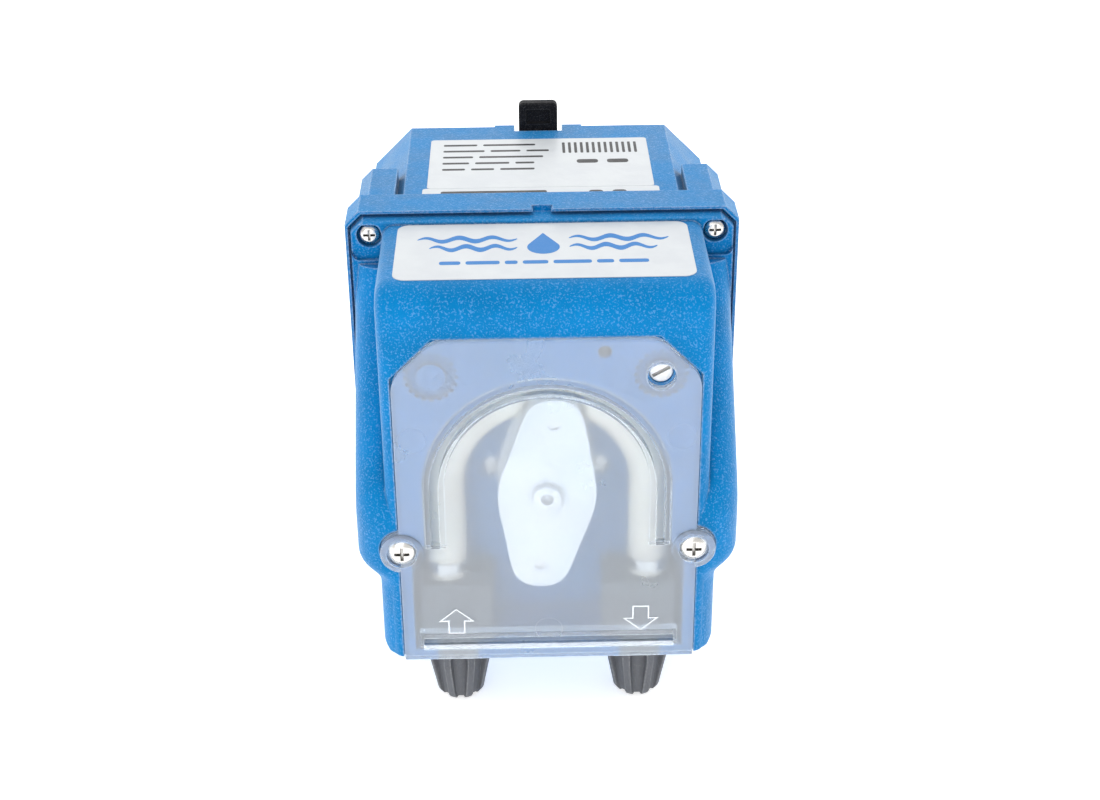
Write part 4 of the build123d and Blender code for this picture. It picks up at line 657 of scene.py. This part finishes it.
class PUMP_OT_cover(PieceOperator, bpy.types.Operator):
    """Finish the clear cover"""

    bl_idname = "pump.cover"
    bl_label = "Cover"

    def make(self):
        dress("front_cover", 0.0001, 40.0, 2, 0.00004)
        # painted highlight: whitish lines along the arrow outlines
        MATERIALS["arrow_highlight"] = ink_material("Painted Arrow Highlight", (0.9, 0.93, 0.96))
        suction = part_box("suction_nut")
        port = abs(suction[0][0] + suction[1][0]) / 2
        for side, name in ((-1, "suction_arrow_line"), (1, "discharge_arrow_line")):
            self.arrow_line(name, side * port, -side)

    def arrow_line(self, name, x, way):
        """A fine whitish line along the arrow's outline, a painted highlight on its edge."""
        middle, half_high = HOUSING_LOW.z + 11.8 * MM, 3.6 * MM
        head, stem = 4.2 * MM, 1.95 * MM
        shape = [(0, 1), (head, 0), (stem, 0), (stem, -1), (-stem, -1), (-stem, 0), (-head, 0)]
        corners = [Vector((x + px, middle + way * half_high * pz)) for px, pz in shape]
        wide, front = 0.14 * MM, COVER_FACE - 0.23 * MM
        points, faces = [], []
        count = len(corners)
        for k, corner in enumerate(corners):
            before = (corner - corners[k - 1]).normalized()
            after = (corners[(k + 1) % count] - corner).normalized()
            bisect = (before + after).normalized()
            side = Vector((-bisect.y, bisect.x)) * wide / max(0.4, bisect.dot(after))
            low = front + 0.05 * MM
            for spot, y in ((corner + side, low), (corner, front), (corner - side, low)):
                points.append((spot.x, y, spot.y))
        for k in range(count):
            a, b = 3 * k, 3 * ((k + 1) % count)
            faces += [(a, a + 1, b + 1, b), (a + 1, a + 2, b + 2, b + 1)]
        new_piece(name, mesh_from(name, points, faces), "arrow_highlight", "housing", False)


class PUMP_OT_hose(PieceOperator, bpy.types.Operator):
    """Build the pump hose, squeezed flat between the upper roller and the track"""

    bl_idname = "pump.hose"
    bl_label = "Hose"

    def make(self):
        around, leg_rings, arch_rings = 40, 24, 120
        wall, clearance, thinnest = 1.7 * MM, 0.25 * MM, 0.03 * MM
        most_squeezed = 0.66
        foot = HOSE_LOW.z
        leg = ROTOR_Z - foot
        stations = []
        for k in range(leg_rings):
            stations.append((-HOSE_PATH, foot + leg * k / leg_rings, pi))
        for k in range(arch_rings + 1):
            angle = pi - pi * k / arch_rings
            stations.append((HOSE_PATH * cos(angle), ROTOR_Z + HOSE_PATH * sin(angle), angle))
        for k in range(1, leg_rings + 1):
            stations.append((HOSE_PATH, ROTOR_Z - leg * k / leg_rings, 0.0))
        roller_angle = atan2(ROLLER_CENTRE.z - ROTOR_Z, ROLLER_CENTRE.x)
        reach = (ROLLER_CENTRE - Vector((0, ROLLER_CENTRE.y, ROTOR_Z))).length
        points = []
        for inner in (False, True):
            radius = HOSE_RADIUS - (wall if inner else 0)
            for x, z, angle in stations:
                out = Vector((cos(angle), 0, sin(angle)))
                centre = Vector((x, HOSE_Y, z))
                inner_limit = -HOSE_RADIUS
                turn = angle - roller_angle
                if z > ROTOR_Z and abs(turn) < 1.0:
                    # where the roller's surface stands along this station's radial line
                    across = reach * sin(abs(turn))
                    along = reach * cos(turn)
                    inside = (ROLLER_RADIUS + clearance) ** 2 - across**2
                    if inside > 0:
                        inner_limit = along + sqrt(inside) - HOSE_PATH
                squeeze = max(0.0, inner_limit + HOSE_RADIUS) / (2 * HOSE_RADIUS)
                squeeze = min(squeeze, most_squeezed)
                for i in range(around):
                    t = 2 * pi * i / around
                    radial = radius * cos(t)
                    flat = HOSE_RADIUS - (HOSE_RADIUS - radial) * (1 - squeeze)
                    if inner:
                        half = max(HOSE_RADIUS * (1 - squeeze) - wall, thinnest)
                        flat = HOSE_RADIUS * squeeze + half * cos(t)
                    wide = radius * sin(t)
                    points.append(centre + out * flat + Vector((0, wide, 0)))
        count = len(stations)
        outer = tube_faces(count, around)
        bore = [tuple(reversed(f)) for f in tube_faces(count, around, offset=count * around)]
        ends = []
        for ring in (0, count - 1):
            for i in range(around):
                j = (i + 1) % around
                a, b = ring * around + i, ring * around + j
                c, d = a + count * around, b + count * around
                ends.append((a, c, d, b) if ring == 0 else (a, b, d, c))
        mesh = mesh_from("pump_hose_tube", points, outer + bore + ends)
        shape = bmesh.new()
        shape.from_mesh(mesh)
        bmesh.ops.recalc_face_normals(shape, faces=shape.faces)
        shape.to_mesh(mesh)
        shape.free()
        tube = new_piece("pump_hose_tube", mesh, "hose_elastomer", "housing")
        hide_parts("pump_hose")
        for name in ("suction_clip", "discharge_clip"):
            dress(name, 0.00015)


class PUMP_OT_rotor(PieceOperator, bpy.types.Operator):
    """Finish the roller carrier, its rollers, pins and shaft"""

    bl_idname = "pump.rotor"
    bl_label = "Rotor"

    def make(self):
        for name in ("carrier_front", "carrier_rear"):
            dress(name, 0.0005)
        for name in ("upper_roller", "lower_roller", "roller_pins", "output_shaft"):
            dress(name, 0.0002)


class PUMP_OT_fittings(PieceOperator, bpy.types.Operator):
    """Finish the connectors and ring nuts, and cut real threads on the connectors"""

    bl_idname = "pump.fittings"
    bl_label = "Fittings"

    def make(self):
        for side in ("suction", "discharge"):
            dress(f"{side}_connector", 0.0003)
            dress(f"{side}_nut", 0.00035)
            dress(f"{side}_grip_ring", 0.00015)
            self.thread(side)

    def thread(self, side):
        """A trapezoid ridge that winds down the connector's shank."""
        nut_low, nut_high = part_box(f"{side}_nut")
        x = (nut_low[0] + nut_high[0]) / 2
        top = nut_high[2] - 0.6 * MM
        pitch, turns, steps = 1.5 * MM, 4.6, 48
        core, crest = 4.9 * MM, 5.03 * MM
        rings = int(turns * steps)
        root = core - 0.2 * MM
        points = []
        for k in range(rings + 1):
            angle = 2 * pi * k / steps
            fade = min(1.0, k / 20, (rings - k) / 20)
            reach = core + (crest - core) * max(0.02, fade)
            z = top - pitch * k / steps
            for radius, shift in ((root, 0.5), (reach, 0.22), (reach, -0.22), (root, -0.5)):
                spot = (x + radius * cos(angle), HOSE_Y + radius * sin(angle), z + shift * MM)
                points.append(spot)
        faces = tube_faces(rings + 1, 4)
        faces.append((3, 2, 1, 0))
        faces.append(tuple(rings * 4 + i for i in range(4)))
        name = f"{side}_thread"
        new_piece(name, mesh_from(name, points, faces), "grey_plastic", "housing")


class PUMP_OT_screws(PieceOperator, bpy.types.Operator):
    """Finish every group of screws"""

    bl_idname = "pump.screws"
    bl_label = "Screws"

    def make(self):
        for group in ("cover", "case", "foot", "board", "gearbox"):
            dress(f"{group}_screws", 0.00012, 25.0)


class PUMP_OT_labels(PieceOperator, bpy.types.Operator):
    """Finish the labels and print plain graphics on them"""

    bl_idname = "pump.labels"
    bl_label = "Labels"

    def make(self):
        for name in ("front_label", "rear_label", "rear_label_strip"):
            dress(name)
        MATERIALS["ink_blue"] = ink_material("Blue Ink", tuple(colours().print_blue))
        MATERIALS["ink_black"] = ink_material("Black Ink", (0.02, 0.02, 0.022))
        self.front_print()
        self.rear_print()

    def print_piece(self, name, outlines, height, ink):
        """Flat printed shapes, each a closed outline of points, a hair above the film."""
        thick = 0.02 * MM
        points, faces = [], []
        for outline in outlines:
            start, count = len(points), len(outline)
            points += [(x, y, height) for x, y in outline]
            points += [(x, y, height + thick) for x, y in outline]
            faces.append(tuple(reversed(range(start, start + count))))
            faces.append(tuple(range(start + count, start + 2 * count)))
            for i in range(count):
                j = (i + 1) % count
                faces.append((start + i, start + j, start + count + j, start + count + i))
        mesh = mesh_from(name, points, faces)
        piece = bpy.data.objects.new(name, mesh)
        bpy.context.scene.collection.objects.link(piece)
        mesh.materials.append(MATERIALS[ink])
        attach(piece, "housing")

    def bar(self, x, y, wide, high):
        """A bar with round ends, centred on a point."""
        radius = min(wide, high) * 0.35
        outline = []
        for quarter in range(4):
            side = (1, -1, -1, 1)[quarter]
            rise = (1, 1, -1, -1)[quarter]
            for k in range(5):
                t = pi / 2 * (quarter + k / 4)
                px = x + side * (wide / 2 - radius) + radius * cos(t)
                py = y + rise * (high / 2 - radius) + radius * sin(t)
                outline.append((px, py))
        return outline

    def wave(self, x, y, wide, swing, thick, crests):
        """A wavy ribbon that thins towards both ends."""
        steps = 28 * crests
        upper, lower = [], []
        for k in range(steps + 1):
            s = k / steps
            centre = y + swing * sin(2 * pi * crests * s)
            half = thick / 2 * (0.15 + 0.85 * sin(pi * s) ** 0.6 if 0 < s < 1 else 0.1)
            px = x + wide * (s - 0.5)
            upper.append((px, centre + half))
            lower.append((px, centre - half))
        return lower + list(reversed(upper))

    def drop(self, x, y, radius):
        """A plain water drop."""
        outline = [(x, y + 2.1 * radius)]
        for k in range(25):
            t = radians(152) + radians(236) * k / 24
            outline.append((x + radius * cos(t), y + radius * sin(t)))
        return outline

    def front_print(self):
        """A drop between two runs of waves, with a thin line of dashes below."""
        low, high = (Vector(c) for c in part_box("front_label"))
        y = (low.y + high.y) / 2
        shapes = [self.drop(0, y + 1.6 * MM, 3.9 * MM)]
        for side in (-1, 1):
            for row in range(2):
                wide = (24 - 3 * row) * MM
                place = side * (6.2 * MM + wide / 2)
                level = y + (6.6 - 5.0 * row) * MM
                shapes.append(self.wave(place, level, wide, 1.1 * MM, 2.6 * MM, 3))
        widths = (5, 8, 3, 6, 9, 4, 7)
        left = -sum(widths) / 2 - 3.6
        for wide in widths:
            shapes.append(self.bar((left + wide / 2) * MM, y - 6.8 * MM, wide * MM, 1.9 * MM))
            left += wide + 1.2
        self.print_piece("front_label_print", shapes, high.z, "ink_blue")

    def rear_print(self):
        """Rows of plain dashes and a hatched block."""
        low, high = (Vector(c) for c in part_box("rear_label"))
        shapes = []
        rows = ((9, 14), (11, 8, 6), (8, 17), (7, 9, 5), (6, 6, 9))
        for row, widths in enumerate(rows):
            left = low.x + 3.5 * MM
            y = high.y - (4.2 + 4.3 * row) * MM
            for wide in widths:
                shapes.append(self.bar(left + wide / 2 * MM, y, wide * MM, 1.2 * MM))
                left += (wide + 1.6) * MM
        for k in range(13):
            x = high.x - (22.5 - 1.6 * k) * MM
            y = high.y - 6.8 * MM
            shapes.append(self.bar(x, y, 0.75 * MM, 7.6 * MM))
        for k in range(2):
            x = high.x - (16.5 - 8 * k) * MM
            shapes.append(self.bar(x, high.y - 16.6 * MM, 5.6 * MM, 2.6 * MM))
        self.print_piece("rear_label_print", shapes, high.z, "ink_black")
        low, high = (Vector(c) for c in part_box("rear_label_strip"))
        y = (low.y + high.y) / 2
        shapes = [self.bar(-12 * MM, y + 1.2 * MM, 27 * MM, 1.9 * MM)]
        shapes += [self.bar(-12 * MM, y - 1.9 * MM, 19 * MM, 0.8 * MM)]
        shapes += [self.bar(x * MM, y + 0.4 * MM, 3.6 * MM, 3.0 * MM) for x in (14, 20)]
        self.print_piece("rear_strip_print", shapes, high.z, "ink_black")


class PUMP_OT_latch(PieceOperator, bpy.types.Operator):
    """Finish the rail latch and its spring"""

    bl_idname = "pump.latch"
    bl_label = "Rail latch"

    def make(self):
        dress("rail_latch", 0.0003)
        dress("latch_spring")


class PUMP_OT_drive(PieceOperator, bpy.types.Operator):
    """Finish the gearbox and the motor"""

    bl_idname = "pump.drive"
    bl_label = "Drive"

    def make(self):
        cases = ("gearbox_can", "gearbox_plate", "motor_can", "motor_end_bell")
        gears = ("first_gear", "second_gear", "output_gear", "gear_axles", "shaft_bush")
        motor = ("motor_pinion", "motor_armature", "motor_magnets", "motor_bushes", "motor_tags")
        for name in cases:
            dress(name, 0.0003)
        for name in gears + motor:
            dress(name)


class PUMP_OT_electronics(PieceOperator, bpy.types.Operator):
    """Finish the boards, the dial, the lamp and the mains parts"""

    bl_idname = "pump.electronics"
    bl_label = "Electronics"

    def make(self):
        for name in ("panel_board", "power_board", "status_lamp", "terminal_screws"):
            dress(name)
        for name in (
            "trimmer_body", "trimmer_screw", "transformer", "capacitor", "fuse_holder",
            "terminal_block",
        ):
            dress(name, 0.0002)


class PUMP_OT_gland(PieceOperator, bpy.types.Operator):
    """Finish the cable gland"""

    bl_idname = "pump.gland"
    bl_label = "Cable gland"

    def make(self):
        for name in ("gland_body", "gland_cap", "gland_lock_nut"):
            dress(name, 0.0003)
        dress("gland_seal", 0.0002)


# ---------------------------------------------------------------- stage


class PUMP_OT_stage(PieceOperator, bpy.types.Operator):
    """Lay the pale floor, hang the soft lights and set the camera"""

    bl_idname = "pump.stage"
    bl_label = "Stage"

    def make(self):
        self.floor()
        self.world()
        power = sizes().light_power
        self.lamp("Overhead light", (0.0, -0.05, 0.75), (0, -0.02, 0), 0.55, power)
        self.lamp("Front light", (-0.25, -0.85, 0.25), (0, -0.05, -0.02), 0.5, power * 1.1)
        self.lamp("Left light", (-0.7, 0.05, 0.12), (0, -0.03, 0), 0.5, power * 0.6)
        self.lamp("Right light", (0.7, 0.05, 0.12), (0, -0.03, 0), 0.5, power * 0.6)
        self.camera()

    def floor(self):
        """A floor that sweeps up into a backdrop."""
        ground = CAD_BOX[0][2] - 0.0005
        wide, near, far, sweep = 3.0, -2.4, 1.2, 0.5
        profile = [(near, ground), (far, ground)]
        for k in range(1, 13):
            t = pi / 2 * k / 12
            profile.append((far + sweep * sin(t), ground + sweep * (1 - cos(t))))
        profile.append((far + sweep, ground + 2.2))
        points = []
        for y, z in profile:
            points += [(-wide, y, z), (wide, y, z)]
        faces = [(2 * k, 2 * k + 1, 2 * k + 3, 2 * k + 2) for k in range(len(profile) - 1)]
        mesh = mesh_from("studio_floor", points, faces)
        mesh.polygons.foreach_set("use_smooth", [True] * len(mesh.polygons))
        floor = bpy.data.objects.new("studio_floor", mesh)
        bpy.context.scene.collection.objects.link(floor)
        material, tree, shader = new_material("Studio Paper", Roughness=0.9, Emission_Strength=0.6)
        where = add_node(tree, "ShaderNodeTexCoord")
        noise = add_node(tree, "ShaderNodeTexNoise", Scale=6.0)
        join(tree, where, "Object", noise, "Vector")
        tone = mix_colour(tree, noise, "Fac", (0.93, 0.93, 0.93), (0.96, 0.96, 0.96))
        tree.links.new(tone, shader.inputs["Base Color"])
        tree.links.new(tone, shader.inputs["Emission Color"])
        mesh.materials.append(material)

    def world(self):
        """Even white light all round."""
        world = bpy.data.worlds.new("Studio")
        world.use_nodes = True
        background = world.node_tree.nodes["Background"]
        background.inputs["Color"].default_value = (1, 1, 1, 1)
        background.inputs["Strength"].default_value = 0.82
        bpy.context.scene.world = world
        bpy.context.scene.view_settings.view_transform = "Standard"

    def lamp(self, name, place, target, size, power):
        """A square soft box aimed at a point."""
        data = bpy.data.lights.new(name, "AREA")
        data.size = size
        data.energy = power
        lamp = bpy.data.objects.new(name, data)
        lamp.location = place
        way = Vector(target) - Vector(place)
        lamp.rotation_euler = way.to_track_quat("-Z", "Y").to_euler()
        bpy.context.scene.collection.objects.link(lamp)

    def camera(self):
        """The camera looks down onto the front, a hair from the left."""
        pitch, yaw, roll = radians(29.1), radians(-1.0), radians(-0.5)
        data = bpy.data.cameras.new("Camera")
        data.sensor_width = 36
        data.lens = sizes().camera_lens
        data.clip_start = 0.01
        data.clip_end = 20
        camera = bpy.data.objects.new("Camera", data)
        turn = Matrix.Rotation(yaw, 4, "Z")
        away = turn @ Vector((0.0008, -0.3747, 0))
        place = Vector((away.x, COVER_FACE + away.y, HOUSING_LOW.z + 0.2831))
        tilt = Matrix.Rotation(pi / 2 - pitch, 4, "X")
        lean = Matrix.Rotation(roll, 4, "Z")
        camera.matrix_world = Matrix.Translation(place) @ turn @ tilt @ lean
        bpy.context.scene.collection.objects.link(camera)
        bpy.context.scene.camera = camera


STEPS = (
    PUMP_OT_finishes,
    PUMP_OT_housing,
    PUMP_OT_cover,
    PUMP_OT_hose,
    PUMP_OT_rotor,
    PUMP_OT_fittings,
    PUMP_OT_screws,
    PUMP_OT_labels,
    PUMP_OT_latch,
    PUMP_OT_drive,
    PUMP_OT_electronics,
    PUMP_OT_gland,
    PUMP_OT_stage,
)


class PUMP_PT_panel(bpy.types.Panel):
    """The pump's settings and the steps that build it"""

    bl_idname = "PUMP_PT_panel"
    bl_label = "Peristaltic Pump"
    bl_space_type = "VIEW_3D"
    bl_region_type = "UI"
    bl_category = "Pump"

    def draw(self, context):
        """Lists the settings, then the steps in their order."""
        layout = self.layout
        for group in (context.scene.pump_colours, context.scene.pump_sizes):
            for name in group.__annotations__:
                layout.prop(group, name)
        for step in STEPS:
            layout.operator(step.bl_idname)


CLASSES = (PumpColours, PumpSizes, *STEPS, PUMP_PT_panel)


def register():
    """Registers the classes and the scene's settings."""
    for item in CLASSES:
        bpy.utils.register_class(item)
    bpy.types.Scene.pump_colours = bpy.props.PointerProperty(type=PumpColours)
    bpy.types.Scene.pump_sizes = bpy.props.PointerProperty(type=PumpSizes)


def unregister():
    """Removes the scene's settings and the classes."""
    del bpy.types.Scene.pump_sizes
    del bpy.types.Scene.pump_colours
    for item in reversed(CLASSES):
        bpy.utils.unregister_class(item)


def main():
    """Builds everything in order."""
    register()
    for step in STEPS:
        group, name = step.bl_idname.split(".")
        getattr(getattr(bpy.ops, group), name)()


if __name__ == "__main__":
    main()
